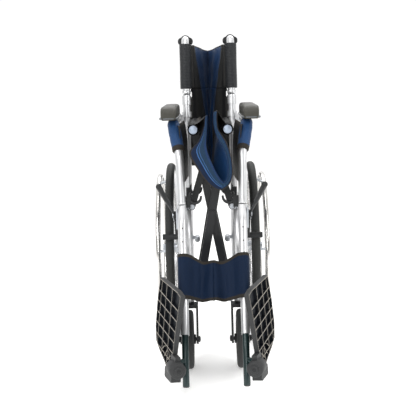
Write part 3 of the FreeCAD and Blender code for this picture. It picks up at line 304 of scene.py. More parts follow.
def torus(name, c, R, r, look, su=160, sv=28, rfun=None):
    u = np.linspace(0, 2 * math.pi, su, endpoint=False)
    v = np.linspace(0, 2 * math.pi, sv, endpoint=False)
    pts = np.zeros((su, sv, 3))
    for i, a in enumerate(u):
        rr = r * (rfun(a, v) if rfun else np.ones(sv))
        pts[i, :, 0] = c[0] + rr * np.sin(v)
        rad = R + rr * np.cos(v)
        pts[i, :, 1] = c[1] + rad * math.cos(a)
        pts[i, :, 2] = c[2] + rad * math.sin(a)
    return grid(name, pts, [look], None, close_u=True, close_v=True)


def lathe_x(name, c, profile, look, seg=96, close=True, mats=None, index=None):
    """profile [(x, r)] turned about the X axis through c."""
    u = np.linspace(0, 2 * math.pi, seg, endpoint=False)
    pr = np.array(profile, float)
    pts = np.zeros((seg, len(pr), 3))
    for i, a in enumerate(u):
        pts[i, :, 0] = c[0] + pr[:, 0]
        pts[i, :, 1] = c[1] + pr[:, 1] * math.cos(a)
        pts[i, :, 2] = c[2] + pr[:, 1] * math.sin(a)
    return grid(name, pts, mats or [look], index, close_u=True, close_v=close)


def join(name, objs):
    bpy.ops.object.select_all(action="DESELECT")
    for o in objs:
        o.select_set(True)
    bpy.context.view_layer.objects.active = objs[0]
    bpy.ops.object.join()
    objs[0].name = name
    objs[0].data.name = name
    return objs[0]


def sstep(t):
    t = np.clip(t, 0, 1)
    return t * t * (3 - 2 * t)


SIDES = (("left", -1), ("right", 1))

# ------------------------------------------------------------ wheels, per side
def wheel(side, s):
    c = (s * 119.0, 0.0, 256.0)
    R, r = 243.7, 12.2

    def tread(a, v):
        # fine cross grooves on the outer half of the section
        g = 0.5 + 0.5 * math.cos(a * 150)
        cut = np.where(np.cos(v) > 0.30, 1.0, 0.0) * (0.045 * (g > 0.72))
        ring = 0.03 * (np.abs(np.sin(v)) < 0.10) * (np.cos(v) > 0)
        return 1.0 - cut - ring
    ty = torus("tyre_" + side + "_looks", c, R, r, "tyre", 600, 40, tread)
    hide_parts("tyre_" + side)
    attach(ty, "wheel_" + side)
    prof = [(-10.4, 227.5), (-8.6, 224.6), (-5, 224.1), (5, 224.1), (8.6, 224.6), (10.4, 227.5), (10.4, 235.4), (9.2, 236.0),
            (7.0, 234.2), (0, 231.6), (-7.0, 234.2), (-9.2, 236.0), (-10.4, 235.4)]
    rim = lathe_x("rim_" + side + "_looks", c, prof, "rimsilver", 200)
    nip = []
    parts = []
    for k in range(28):
        a0 = 2 * math.pi * k / 28
        sd = 1 if k % 2 == 0 else -1
        lead = 0.62 if (k // 2) % 2 == 0 else -0.62
        off = 1.6 if (k // 2) % 2 == 0 else -1.6
        p = np.array([c[0] + sd * (17.6 + off * 0.6), 24.5 * math.cos(a0 + lead), 256 + 24.5 * math.sin(a0 + lead)])
        q = np.array([c[0] + sd * 2.0, 224.3 * math.cos(a0), 256 + 224.3 * math.sin(a0)])
        d = (q - p) / np.linalg.norm(q - p)
        parts.append(sweep("sp", np.array([p, q]), 1.05, "chrome", 8, caps=False))
        nip.append(bar("np", q - d * 11, q, 2.0, "steel", 10, 0.4))
    h = [(-23, 6.6), (-23, 12.2), (-21.6, 13.5), (-19.6, 14.4), (-19.2, 26.8), (-18.4, 27.8), (-16.8, 27.8), (-16.0, 26.8), (-15.6, 16.8), (-13, 15.4),
         (0, 14.2), (13, 15.4), (15.6, 16.8), (16.0, 26.8), (16.8, 27.8), (18.4, 27.8), (19.2, 26.8), (19.6, 14.4), (24, 13.2), (27, 12.0), (27, 6.6)]
    hub = lathe_x("hub", c, [(x if s < 0 else -x, rr) for x, rr in h], "steel", 72)
    hs = join("hub_spokes_" + side + "_looks", [hub] + parts + nip)
    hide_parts("hub_spokes_" + side)
    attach(hs, "wheel_" + side)
    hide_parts("rim_" + side)
    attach(rim, "wheel_" + side)
    # handrim on six curved tabs
    hr = [torus("hr", (s * 152.4, 0, 256), 217, 8.0, "chrome", 200, 28)]
    for k in range(6):
        a = math.radians(60 * k + 22)
        er = np.array([0, math.cos(a), math.sin(a)])
        er = np.array([0, -math.sin(a), math.cos(a)])
        b0 = np.array([s * 129.4, 0, 256.0]) + er * 228
        b1 = np.array([s * 140, 0, 256.0]) + er * 225
        b2 = np.array([s * 149, 0, 256.0]) + er * 219
        pth, _ = resample(polyline([b0, b1, b2], [12]), 3)
        hr.append(sweep("tab", pth, 3.6, "steel", 14))
        hr.append(bar("tabf", b0 - np.array([s * 0.6, 0, 0]), b0 + np.array([s * 1.4, 0, 0]), 6.2, "steel", 20, 0.4))
    h2 = join("handrim_" + side + "_looks", hr)
    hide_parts("handrim_" + side)
    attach(h2, "wheel_" + side)
    # caster
    cc = (s * 68.0, -375.0, 78.0)
    prof = [(-11.4, 58.3), (-11.4, 67), (-10.6, 71.5), (-8.4, 75.2), (-5, 77.3), (0, 77.9), (5, 77.3), (8.4, 75.2), (10.6, 71.5), (11.4, 67), (11.4, 58.3)]
    ct = lathe_x("caster_tyre_" + side + "_looks", cc, prof, "caster", 160)
    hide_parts("caster_tyre_" + side)
    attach(ct, "caster_wheel_" + side)
    prof = [(-17, 5.3), (-17, 11.5), (-15.5, 12.6), (-6, 14.2), (-3.4, 17), (-3.4, 46), (-5, 49), (-10.4, 51), (-11, 52.5), (-11, 58.2),
            (11, 58.2), (11, 52.5), (10.4, 51), (5, 49), (3.4, 46), (3.4, 17), (6, 14.2), (15.5, 12.6), (17, 11.5), (17, 5.3)]
    hubs = [lathe_x("chub", cc, prof, "plastic", 120)]
    for k in range(6):
        a = math.pi / 3 * k
        er = np.array([0, math.cos(a), math.sin(a)])
        for sx in (-1, 1):
            p0 = np.array(cc) + er * 13 + np.array([sx * 6.5, 0, 0])
            p1 = np.array(cc) + er * 50 + np.array([sx * 6.0, 0, 0])
            hubs.append(bar("rib", p0, p1, 3.4, "plastic", 14, 0.4))
    ch = join("caster_hub_" + side + "_looks", hubs)
    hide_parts("caster_hub_" + side)
    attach(ch, "caster_wheel_" + side)


for side, s in SIDES:
    wheel(side, s)


# ---------------------------------------- smooth tubes of the frame, per side
def frame_tubes(side, s):
    R = 11.1
    rear = polyline([(s * 67.5, -10, 112), (s * 67.5, -10, 430), (s * 67.5, 17.2, 712)], [150])
    front = polyline([(s * 79, -362, 436), (s * 79, -362, 392), (s * 75.5, -520, 130)], [55])

    def hollow(name, pth, r0, ends=(True, True)):
        pth, _ = resample(pth, 6)
        o = sweep(name, pth, R, "silver", 48, caps=False)
        inn = sweep(name + "i", pth, r0, "steel", 32, caps=False)
        out = [o, inn]
        for k, e in ((0, ends[0]), (-1, ends[1])):
            if e:
                d = pth[1] - pth[0] if k == 0 else pth[-1] - pth[-2]
                d = d / np.linalg.norm(d)
                p = pth[k]
                ring = np.array([p, p + d * 1e-3])
                a = sweep("e", np.array([p - d * 0.001, p]), R, "silver", 48, caps=False)
                # annulus closing the wall
                ref = np.array([1.0, 0, 0])
                n1 = ref - d * (ref @ d)
                n1 /= np.linalg.norm(n1)
                n2 = np.cross(d, n1)
                ang = np.linspace(0, 2 * math.pi, 48, endpoint=False)
                rings = [p + rr * (np.cos(ang)[:, None] * n1 + np.sin(ang)[:, None] * n2) for rr in (r0, R)]
                out.append(grid("ann", np.array(rings), ["silver"], None, close_v=True))
                bpy.data.objects.remove(a)
        return out
    objs = hollow("rear", rear, 9.5)
    objs += hollow("front", front, 9.5)
    objs.append(sweep("seat_tube", np.array([(s * 67.5, -10, 420), (s * 79, -362, 420)]), R, "silver", 48))
    objs.append(sweep("lower", np.array([(s * 67.5, -10, 190), (s * 68, -338, 190)]), R, "silver", 48))
    objs.append(sweep("post", np.array([(s * 68, -338, 236), (s * 68, -338, 418)]), R, "silver", 48))
    objs.append(bar("housing", (s * 68, -338, 172), (s * 68, -338, 232), 15, "silver", 56, 1.2))
    lo, hi = sorted((s * 84.6, s * 74.5))
    objs.append(box("axle_plate", (lo, -32, 216), (hi, 32, 296), "silver", bevel=2.5))
    for x, y, z in ((84.9, -22, 226), (84.9, 22, 226), (84.9, -22, 286), (84.9, 22, 286)):
        objs.append(bar("pb", (s * (x - 1), y, z), (s * (x + 2.0), y, z), 5, "steel", 24, 0.6))
    # lugs of the cross brace and of the fold link, with rounded eyes
    for ym in (-250, -80):
        for y0 in (ym - 22, ym + 16):
            p, q = np.array([s * 44.0, 164.0]), np.array([s * 65.0, 190.0])
            d = (q - p) / np.linalg.norm(q - p)
            n = np.array([-d[1], d[0]])
            ang = np.linspace(0, math.pi, 17)
            out = [p + 11 * (-d * math.sin(a) + n * math.cos(a)) for a in ang] + [q - n * 11, q + n * 11]
            a3 = np.array([[[x, y, z] for x, z in out] for y in (y0, y0 + 6)])
            objs.append(grid("lug", a3, ["steel"], None, close_v=True, cap=True))
    p, q = np.array([s * 54.0, 417.9]), np.array([s * 68.0, 420.0])
    out = [p + 8 * np.array([-s * math.sin(a), math.cos(a)]) for a in np.linspace(0, math.pi, 15)] + [q - (0, 8), q + (0, 8)]
    objs.append(grid("llug", np.array([[[x, y, z] for x, z in out] for y in (-265.5, -259.5)]), ["steel"], None, close_v=True, cap=True))
    # plug on a short arm behind the rear cross
    lo, hi = sorted((s * 45.0, s * 60.0))
    objs.append(box("arm", (lo, -16, 282), (hi, -8, 292), "steel", bevel=1.5))
    objs.append(bar("plug", (s * 45, -10, 287), (s * 45, -50, 287), 8.5, "steel", 40, 1.5))
    # small dark screws on the rear tube; on the front tube, small black discs painted as the shade inside its holes
    for y, z, x in ((-21.0, 330, 67.5), (-21.0, 281.5, 67.5)):
        objs.append(bar("dot", (s * x, y + 1, z), (s * x, y - 1.4, z), 3.2, "blackmetal", 24, 0.5))
    for z in (300, 340, 372):
        k = (392 - z) / 262.0
        objs.append(bar("dot", (s * (79 - 3.5 * k) - s * 0.0, -362 - 158 * k - 9.6, z + 5.8), (s * (79 - 3.5 * k), -362 - 158 * k - 10.4, z + 6.2), 1.8, "blackmetal", 16, 0.1))
    o = join("side_frame_" + side + "_looks", objs)
    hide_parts("side_frame_" + side)
    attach(o, side + "_frame")

    # armrest tube
    arm = polyline([(s * 98, -15, 642), (s * 98, -285, 642), (s * 82, -345, 565), (s * 80, -362, 436.6)], [38, 70])
    pth, _ = resample(arm, 5)
    a = [sweep("arm", pth, R, "silver", 48), bar("eye", (s * 88, -12, 642), (s * 108, -12, 642), 11.1, "silver", 40, 1.0)]
    o = join("armrest_tube_" + side + "_looks", a)
    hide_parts("armrest_tube_" + side)
    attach(o, "armrest_" + side)

    # back cane
    cane = polyline([(s * 67.5, 17.6, 714.8), (s * 67.5, 32.8, 876), (s * 67.5, 189, 876)], [30])
    pth, _ = resample(cane, 4)
    parts = [sweep("cane", pth, R, "silver", 48)]
    for x0 in (58.0, 70.8):
        parts.append(bar("kn", (s * x0, 32.2, 714.6), (s * (x0 + 6.2), 32.2, 714.6), 5.5, "steel", 28, 0.4))
        lo, hi = sorted((s * x0, s * (x0 + 6.2)))
        parts.append(box("kw", (lo, 23.4, 715.2), (hi, 36, 725.5), "steel", bevel=0.8))
    # slim collar just above the joint line
    c0 = np.array([s * 67.5, 17.7, 715.4])
    parts.append(bar("col", c0, c0 + np.array([0, 0.9, 9.5]), 12.6, "silver", 44, 0.8))
    o = join("back_cane_" + side + "_looks", parts)
    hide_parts("back_cane_" + side)
    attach(o, "back_" + side)

    # ribbed sleeve on the cane
    p0 = np.array([s * 67.5, 19.1, 731.0])
    p1 = np.array([s * 67.5, 31.5, 863.0])
    n = 300
    t = np.linspace(0, 1, n)
    pth = p0 + (p1 - p0) * t[:, None]
    rr = 17.2 + 0.35 * np.cos(t * 2 * math.pi * 30) + 0.2 * np.sin(t * 9)
    rr[0], rr[-1] = 12.5, 12.5
    rr[1], rr[-2] = 16.2, 16.2
    o = sweep("cane_sleeve_" + side + "_looks", pth, rr, "sleeve", 56, caps=False)
    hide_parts("cane_sleeve_" + side)
    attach(o, "back_" + side)

    # push grip: ribbed body, flattened front collar
    y = np.linspace(80.5, 195, 240)
    rad = 14.4 + 0.8 * np.sin((y - 95) / 100 * 2 * math.pi * 5) ** 2
    rad = np.where(y > 190, 15.2 - ((y - 190) / 5) ** 2 * 5, rad)
    pth = np.stack([np.full_like(y, s * 67.5), y, np.full_like(y, 876.0)], 1)
    body = sweep("grip", pth, rad, "rubber", 64, caps=True)
    ang = np.linspace(0, 2 * math.pi, 72, endpoint=False)
    rings = []
    for yy, q in ((75.4, 0.80), (76.0, 0.94), (77.2, 1.0), (82.5, 1.0), (84.0, 0.95), (85.2, 0.80)):
        ex = np.sign(np.cos(ang)) * np.abs(np.cos(ang)) ** 0.8 * 22.6 * q
        ez = np.sign(np.sin(ang)) * np.abs(np.sin(ang)) ** 0.8 * 13.4 * q
        rings.append(np.stack([s * 67.5 + ex, np.full(72, yy), 872.5 + ez], 1))
    col = grid("collar", np.array(rings), ["rubber"], None, close_v=True, cap=True)
    o = join("handgrip_" + side + "_looks", [body, col])
    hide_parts("handgrip_" + side)
    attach(o, "back_" + side)


for side, s in SIDES:
    frame_tubes(side, s)


# -------------------------------------------------------------- arm pads
def arm_pad(side, s):
    ys = np.r_[np.linspace(-324.5, -280, 26), np.linspace(-276, -60, 24), np.linspace(-56, -35.5, 12)]
    rings = []
    n = 64
    for y in ys:
        if y < -280:
            k = (y + 324.5) / 44.5
            top = 654.5 + 8 + (27.5) * math.sqrt(max(0.0, 1 - (1 - k) ** 2))
            wid = 17.5 + 5.0 * math.sqrt(max(0.0, 1 - (1 - k) ** 2))
        else:
            top, wid = 690.0, 22.5
        if y > -56:
            k = (y + 56) / 20.5
            wid -= 3.0 * k ** 3
            top -= 4.0 * k ** 3
        z0, z1 = 654.0, top
        zc, hz = (z0 + z1) / 2, (z1 - z0) / 2
        ang = np.linspace(0, 2 * math.pi, n, endpoint=False)
        cx, sz = np.cos(ang), np.sin(ang)
        e = 0.42
        x = np.sign(cx) * np.abs(cx) ** e * wid
        z = np.sign(sz) * np.abs(sz) ** e * hz
        z = np.where(sz < 0, np.sign(sz) * np.abs(sz) ** 0.25 * hz, z)
        x = x * (1 - 0.05 * np.clip(sz, 0, 1))
        rings.append(np.stack([s * 108.5 + x, np.full(n, y), zc + z], 1))
    o = grid("arm_pad_" + side + "_looks", np.array(rings), ["vinyl"], None, close_v=True, cap=True)
    # lower lip strip across the front and along both sides; its lighter grey is a painted highlight on the lip's face
    lip = []
    xw = 19.5
    pth = polyline([(s * 108.5 - 22.4, -40, 658.5), (s * 108.5 - 22.4, -322, 658.5), (s * 108.5 + 22.4, -322, 658.5), (s * 108.5 + 22.4, -40, 658.5)], [10, 10], 1.5)
    pth, _ = resample(pth, 3)
    lip.append(sweep("lip", pth, 3.0, "lip", 14, shape=lambda a: 1.0))
    o2 = join("arm_pad_lip_painted_highlight_" + side, lip)
    plate = box("arm_pad_base_" + side, sorted([s * 90.0, s * 127.0])[0:1] + [-300, 652.9], sorted([s * 90.0, s * 127.0])[1:2] + [-50, 655], "plastic", bevel=0.4)
    for q in (o, o2, plate):
        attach(q, "armrest_" + side)
        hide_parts("arm_pad_" + side)


for side, s in SIDES:
    arm_pad(side, s)


# ------------------------------------------------------ sleeves and side guards
def guard(side, s):
    arm = polyline([(s * 98, -15, 642), (s * 98, -285, 642), (s * 82, -345, 565), (s * 80, -362, 437)], [38, 70])
    pth, d = resample(arm, 1.5)
    i0 = int(np.argmin(np.abs(pth[:, 2] - 651) + np.abs(pth[:, 1] + 285))) if False else None
    sel = np.where((pth[:, 1] < -268) & (pth[:, 2] > 573))[0]
    seg = pth[sel]
    t = np.linspace(0, 1, len(seg))
    rr = 15.6 + 1.0 * np.sin(math.pi * t) + 0.25 * np.sin(t * 23 + s)
    rr[0] = rr[-1] = 11.6
    rr[1], rr[-2] = 14.9, 14.9
    m = len(seg)

    def idx(i, j):
        f = i / m
        return 1 if f < 0.10 or f > 0.86 else 0
    # the post sleeve takes the lighter copy of the blue nylon, painted light
    o = sweep("post_sleeve_" + side, seg, rr, "blue", 48, caps=False, mats=["blue_painted_lit", "binding"], index=idx)
    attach(o, "armrest_" + side)
    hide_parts("side_panel_" + side)
    # cloth guard: hangs from the arm tube, hemmed on three sides
    nu, nv = 60, 40
    pts = np.zeros((nu, nv, 3))
    for i in range(nu):
        f = i / (nu - 1)
        y = -330 + 295 * f
        xb = 78 - 12 * f
        for j in range(nv):
            g = j / (nv - 1)
            z = 640 - 163 * g
            pull = (1 - g) ** 6
            x = xb + 1.5 + (9.0 * pull) * (1 if y > -290 else max(0, 1 - (-290 - y) / 40))
            x += 0.8 * math.sin(g * 7 + f * 5) * math.sin(f * math.pi) + 0.5 * math.sin(f * 31)
            pts[i, j] = (s * x, y, z)

    def gi(i, j):
        return 1 if i < 3 or i > nu - 5 or j > nv - 5 or j < 2 else 0
    g = grid("side_guard_" + side, pts, ["black", "binding"], gi)
    md = g.modifiers.new("t", "SOLIDIFY")
    md.thickness = 0.0022
    md.offset = 0
    bpy.context.view_layer.objects.active = g
    bpy.ops.object.modifier_apply(modifier="t")
    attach(g, "armrest_" + side)
    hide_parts("side_panel_" + side)


for side, s in SIDES:
    guard(side, s)

# -------------------------------------------------------------- calf strap
def strap(side, s):
    k = (392 - 209) / 262.0
    base = np.array([0.0, -362 - 158 * k, 209.0])
    up = np.array([0.0, 158, 262]) / math.hypot(158, 262)
    nf = np.array([0.0, -up[2], up[1]])
    path = []
    for th in np.linspace(-75, 82, 34):
        a = math.radians(th)
        path.append((77.2 + 13.2 * math.cos(a), 13.2 * math.sin(a)))
    xs = np.linspace(74, 0, 60)
    for x in xs:
        dip = 33.0 if s < 0 else 29.0
        base_n = np.interp(x, [0, 6, 16, dip, 50, 64, 74], [7.5, 6.6, 1.0, -7.0, -1.5, 8.5, 12.9])
        path.append((x, base_n))
    path = np.array(path)
    # smooth the waist of the curve
    for _ in range(6):
        path[35:-1] = (path[34:-2] + 2 * path[35:-1] + path[36:]) / 4
    nv = 56
    pts = np.zeros((len(path), nv, 3))
    for i, (x, n) in enumerate(path):
        w = float(sstep((66 - x) / 50.0)) if i > 20 else 0.0
        top, bot = 120 - 19 * w, -5.5 * w
        for j in range(nv):
            g = j / (nv - 1)
            h = bot + (top - bot) * g
            puff = 1.0 if (g < 0.075 or g > 0.925) else 0.0
            wr = 0.5 * math.sin(g * 9 + x * 0.23) * w + 2.6 * math.sin(x * 0.17 + g * 1.2 + s * 0.7) * w
            hgt = n + puff * 0.7 + wr
            p = base + up * h + nf * hgt
            k2 = (392 - (209 + h * up[2])) / 262.0
            dx = (79 - 3.5 * k2) - 76.6 if i < 40 else ((79 - 3.5 * k2) - 76.6) * x / 74.0
            pts[i, j] = (s * (x + dx), p[1], p[2])

    def idx(i, j):
        return 1 if (j < 4 or j > nv - 6) else 0
    # the strap takes the darker copy of the blue nylon, painted shade
    o = grid("calf_strap_" + side + "_looks", pts, ["bluestrap_painted_shade", "binding"], idx)
    bpy.context.view_layer.objects.active = o
    md = o.modifiers.new("t", "SOLIDIFY")
    md.thickness = 0.0022
    md.offset = 0
    bpy.ops.object.modifier_apply(modifier="t")
    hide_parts("calf_strap_" + side)
    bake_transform(o)


# -------------------------------------------------------------- back upholstery
def back_half(side, s, part):
    z0, z1 = (722.0, 860.0) if part == "upper" else (500.0, 729.2)
    p0, p1 = np.array([50.0, 34.0]), np.array([0.6, 218.5])
    d = (p1 - p0) / np.linalg.norm(p1 - p0)
    n = np.array([-d[1], d[0]]) * -1.0
    L = float(np.linalg.norm(p1 - p0))
    rows = 48 if part == "upper" else 74
    na, nb = 22, 44
    pts = np.zeros((na + nb + 1, rows, 3))
    for j in range(rows):
        g = j / (rows - 1)
        for i in range(na + nb + 1):
            z = z0 + (z1 - z0) * g
            bnd = 29 + (860 - z) * 0.51
            bnd = min(bnd, 150.0)
            if i <= na:
                sl = bnd * i / na
                f = i / na
                off = 4.2 * math.sin(math.pi * f) ** 0.8 + 0.6 * math.sin(f * 9 + z * 0.05)
            else:
                f = (i - na) / nb
                sl = bnd + (L - bnd) * f
                off = 1.6 * math.sin(f * math.pi * 3.0 + 0.4 + z * 0.012) * math.sin(math.pi * f) + 0.5 * math.sin(z * 0.09 + f * 8)
            if part == "upper":
                off -= 3.4 * float(sstep((733.0 - z) / 5.0)) * (1 - float(sstep((sl / L - 0.85) / 0.15)))
            sag = 12.0 * sstep(sl / L) if part == "upper" else 0.0
            zz = z - sag * g ** 2
            if part == "lower":
                zz -= 9.0 * (1 - g) * sstep(sl / L)
            q = p0 + d * sl + n * off * -1
            pts[i, j] = (s * q[0], q[1], zz)

    def idx(i, j):
        if part == "upper" and j > rows - 3:
            return 2
        if part == "lower" and j < 3:
            return 2
        if i in (na - 1, na):
            return 2
        if i < na:
            return 3 if i < 5 else 1
        return 0
    # the main back cloth takes the lighter copy of the blue nylon, painted light
    o = grid("back_%s_%s_looks" % (part, side), pts, ["blue_painted_lit", "greyband", "binding", "black"], idx)
    bpy.context.view_layer.objects.active = o
    md = o.modifiers.new("t", "SOLIDIFY")
    md.thickness = 0.0024
    md.offset = 0
    bpy.ops.object.modifier_apply(modifier="t")
    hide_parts("back_%s_%s" % (part, side))
    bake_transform(o)


for side, s in SIDES:
    strap(side, s)
    back_half(side, s, "upper")
    back_half(side, s, "lower")
    # dark inner binding that laces the lower back to the rear upright
    yb = np.array([(s * 55.5, -6 + 27.2 * max(0, (z - 430)) / 282 + 14, z) for z in np.linspace(502, 706, 40)])
    o = sweep("back_hem_" + side, yb, 6.4, "greyband", 20)
    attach(o, side + "_frame")
    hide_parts("back_lower_" + side)
    yb = np.array([(s * 51.0, 36, z) for z in np.linspace(733, 858, 24)])
    o = sweep("back_hem_up_" + side, yb, 6.8, "greyband", 20)
    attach(o, "back_" + side)
    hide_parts("back_upper_" + side)


# ------------------------------------------------------------------ seat
FO = [(-13, 665), (-16, 640), (-24, 618), (-34, 598), (-50, 584), (-57, 573), (-51, 556), (-42, 542), (-32, 525), (-23, 510), (-12, 496), (0, 485), (11, 478), (22, 475),
      (36, 480), (48, 491), (54.5, 508), (56, 527), (54, 553), (48, 580), (42, 598), (32, 614), (20, 632), (18, 655), (19, 680)]
FI = [(-7, 668), (-8, 640), (-10, 615), (-12, 592), (-9, 575), (-5, 562), (0, 550), (6, 536), (12, 522), (19, 510), (25, 500), (32, 495),
      (38, 497), (42, 506), (44, 525), (43, 548), (38, 572), (30, 590), (20, 606), (12, 625), (8, 645), (9, 676)]
BO = [(-37, 645), (-32, 634), (-26, 612), (-19, 582), (-13.5, 553), (-8.5, 524), (-4.6, 500), (-2.2, 485), (0, 477), (2.2, 485), (4.6, 500), (8.5, 524), (13.5, 553), (19, 582),
      (26, 612), (32, 634), (37, 645)]
BI = [(-27, 651), (-22, 637), (-17.5, 614), (-12, 585), (-7.5, 560), (-4.2, 535), (-1.8, 512), (0, 498), (1.8, 512), (4.2, 535), (7.5, 560), (12, 585), (17.5, 614), (22, 637), (27, 651)]


def smooth_curve(pts, n):
    p = np.array(pts, float)
    d = np.r_[0, np.cumsum(np.linalg.norm(np.diff(p, axis=0), axis=1))]
    t = np.linspace(0, d[-1], n)
    q = np.stack([np.interp(t, d, p[:, k]) for k in range(2)], 1)
    for _ in range(3):
        q[1:-1] = (q[:-2] + 2 * q[1:-1] + q[2:]) / 4
    return q


def halves(pts, kbot, n):
    left = smooth_curve(pts[:kbot + 1], n)
    right = smooth_curve(pts[kbot:], n)[::-1]
    return left, right


N = 64
fo = halves(FO, 13, N)
fi = halves(FI, 11, N)
bo = halves(BO, 8, N)
bi = halves(BI, 7, N)


def seat(side, s):
    h = 0 if s < 0 else 1
    ys = np.r_[np.linspace(-387, -290, 40), np.linspace(-285, -32, 46)]
    ring = []
    for y in ys:
        w = float(sstep((-296 - y) / 78.0))
        o_ = fo[h] * w + bo[h] * (1 - w)
        i_ = fi[h] * w + bi[h] * (1 - w)
        f = np.linspace(0, 1, N)[:, None]
        wob = 0.7 * np.sin(y * 0.05 + f * 6) * (1 - w)
        i_ = i_ + np.c_[wob[:, 0] * (-s) * -1, 0 * wob[:, 0]] * np.sin(np.pi * f)
        loop = np.r_[o_, i_[::-1]]
        ring.append(np.c_[loop[:, 0], np.full(len(loop), y), loop[:, 1]])
    ring = np.array(ring)
    ny = len(ys)

    # Inner faces: deep in the U the dark blue copy, painted shade in the fold; toward the front plain blue on the left
    # and, over a longer stretch, the lighter copy on the right, painted light on the lit wall.
    def idx(i, j):
        if j < N - 1:
            if i < 3 or j < 3:
                return 2
            return 1
        if j == 2 * N - 1:
            return 2
        jj = j - N
        if jj > N - 5:
            return 2
        if s > 0 and i < 34:
            return 3
        return 0 if i > 6 else 3
    body = grid("seat_body", ring, ["blue_painted_shade", "black", "binding", "blue_painted_lit" if s > 0 else "blue"], idx, close_v=True)
    # rounded front face with two raised seams
    nv = 40
    face = np.zeros((N, nv, 3))
    for j in range(nv):
        v = j / (nv - 1)
        bulge = math.sin(math.pi * v) ** 0.6
        a = fo[h] * (1 - v) + fi[h] * v
        face[:, j, 0] = a[:, 0]
        face[:, j, 2] = a[:, 1]
        yy = -387 - 5.0 * bulge
        if abs(v - (0.44 if s < 0 else 0.30)) < 0.02 or abs(v - (0.58 if s < 0 else 0.48)) < 0.02:
            yy += 1.0
        face[:, j, 1] = yy

    # Front face: binding at the outer edge, then the dark blue copy up to the first seam (painted shade on that band),
    # the darker seat-face copy over the rest (painted shade), plain blue near the inner edge.
    def fidx(i, j):
        v = (j + 0.5) / (nv - 1)
        lo, hi, ed = (0.44, 0.58, 0.10) if s < 0 else (0.30, 0.48, 0.16)
        if v < ed:
            return 1
        # seam bands take the bright seam colour, a painted highlight on real seams
        if abs(v - lo) < 0.020 or abs(v - hi) < 0.020:
            return 2
        if v < lo:
            return 4
        return 0 if v < 0.86 else 3
    front = grid("seat_front", face, ["seatface_painted_shade", "binding", "thread", "blue", "blue_painted_shade"], fidx)
    # rear end
    rear = np.zeros((N, 2, 3))
    rear[:, 0] = np.c_[bo[h][:, 0], np.full(N, -32.0), bo[h][:, 1]]
    rear[:, 1] = np.c_[bi[h][:, 0], np.full(N, -32.0), bi[h][:, 1]]
    rr = grid("seat_rear", rear, ["binding"], None)
    # cloth sleeve round the rail and the strip that joins it to the pad
    n = 40
    sl = np.zeros((len(ys), n, 3))
    br = np.zeros((len(ys), 12, 3))
    for i, y in enumerate(ys):
        w = float(sstep((-296 - y) / 78.0))
        tip = fo[h][0] * w + bo[h][0] * (1 - w)
        ang = np.linspace(0, 2 * math.pi, n, endpoint=False)
        # the cloth is gathered tight where the rail drops into the two hooks
        near = min(abs(y + 335.0), abs(y + 140.0))
        nip = 1 - float(sstep((near - 13.0) / 9.0))
        r = 14.6 - 2.6 * nip + 0.35 * (1 - nip) * np.sin(ang * 3 + y * 0.03)
        sl[i, :, 0] = s * 44 + r * np.cos(ang)
        sl[i, :, 1] = y
        sl[i, :, 2] = 632 + r * np.sin(ang)
        b0 = np.array([s * 44 - s * 3.0, 645.0])
        for j in range(12):
            f = j / 11
            q = b0 * (1 - f) + tip * f
            br[i, j] = (q[0], y, q[1] - 3.0 * math.sin(math.pi * f) * w)
    sleeve = grid("seat_sleeve", sl, ["black"], None, close_v=True)
    bridge = grid("seat_bridge", br, ["black", "binding"], lambda i, j: 1 if i < 3 else 0)
    # points for a black cloth hanging beside the rail end, down to the pad's outer edge; they are computed but no mesh
    # is built from them
    m = 30
    fl = np.zeros((30, m, 3))
    for i in range(30):
        y = -386 + i * 3.0
        w = float(sstep((-296 - y) / 78.0))
        o_ = fo[h] * w + bo[h] * (1 - w)
        for j in range(m):
            f = j / (m - 1)
            k = int(f * 22)
            a = np.array([s * (44 + 9.5 - 16 * f), 641 - 62 * f])
            b = o_[k]
            fl[i, j] = (a[0] * (1 - 0.5 * f) + b[0] * 0.5 * f, y + 1.2, a[1])
    o = join("seat_" + side + "_looks", [body, front, rr, sleeve, bridge])
    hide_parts("seat_" + side)
    a, b = ("brace_b_body", "brace_a_body") if s < 0 else ("brace_a_body", "brace_b_body")
    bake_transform(o)


for side, s in SIDES:
    seat(side, s)

# ------------------------------------------------- footplates and their tubes
YW, TL = math.radians(18), math.radians(4)
E1 = np.array([-math.sin(YW), math.cos(YW), 0.0])
EN = np.array([math.cos(YW), math.sin(YW), 0.0])
E2 = np.array([0.0, 0.0, 1.0]) * math.cos(TL) + EN * math.sin(TL)
E3 = np.cross(E1, E2)
PO = [(5, 184), (35, 190), (190, 192), (210, 127), (218, 60), (207, 24), (172, 8), (132, -4), (93, -19), (66, 2), (58, 12),
      (51, 30), (37, 84)]


def onp(a, b, c, s):
    p = np.array([-90.0, -648.0, 76.0]) + E1 * a + E2 * b + E3 * c
    return np.array([p[0] * (-s), p[1], p[2]])


def inset(poly, w):
    p = np.array(poly, float)
    n = len(p)
    out = []
    area2 = sum(p[i][0] * p[(i + 1) % n][1] - p[(i + 1) % n][0] * p[i][1] for i in range(n))
    sg = 1.0 if area2 > 0 else -1.0
    for i in range(n):
        a, b, c = p[i - 1], p[i], p[(i + 1) % n]
        d1 = (b - a) / np.linalg.norm(b - a)
        d2 = (c - b) / np.linalg.norm(c - b)
        n1 = np.array([-d1[1], d1[0]]) * sg
        n2 = np.array([-d2[1], d2[0]]) * sg
        m = n1 + n2
        m = m / max(0.35, 1 + n1 @ n2)
        out.append(b + m * w)
    return np.array(out)


def inside(q, poly):
    x, y = q
    r = False
    n = len(poly)
    for i in range(n):
        x1, y1 = poly[i]
        x2, y2 = poly[(i + 1) % n]
        if (y1 > y) != (y2 > y) and x < (x2 - x1) * (y - y1) / (y2 - y1) + x1:
            r = not r
    return r


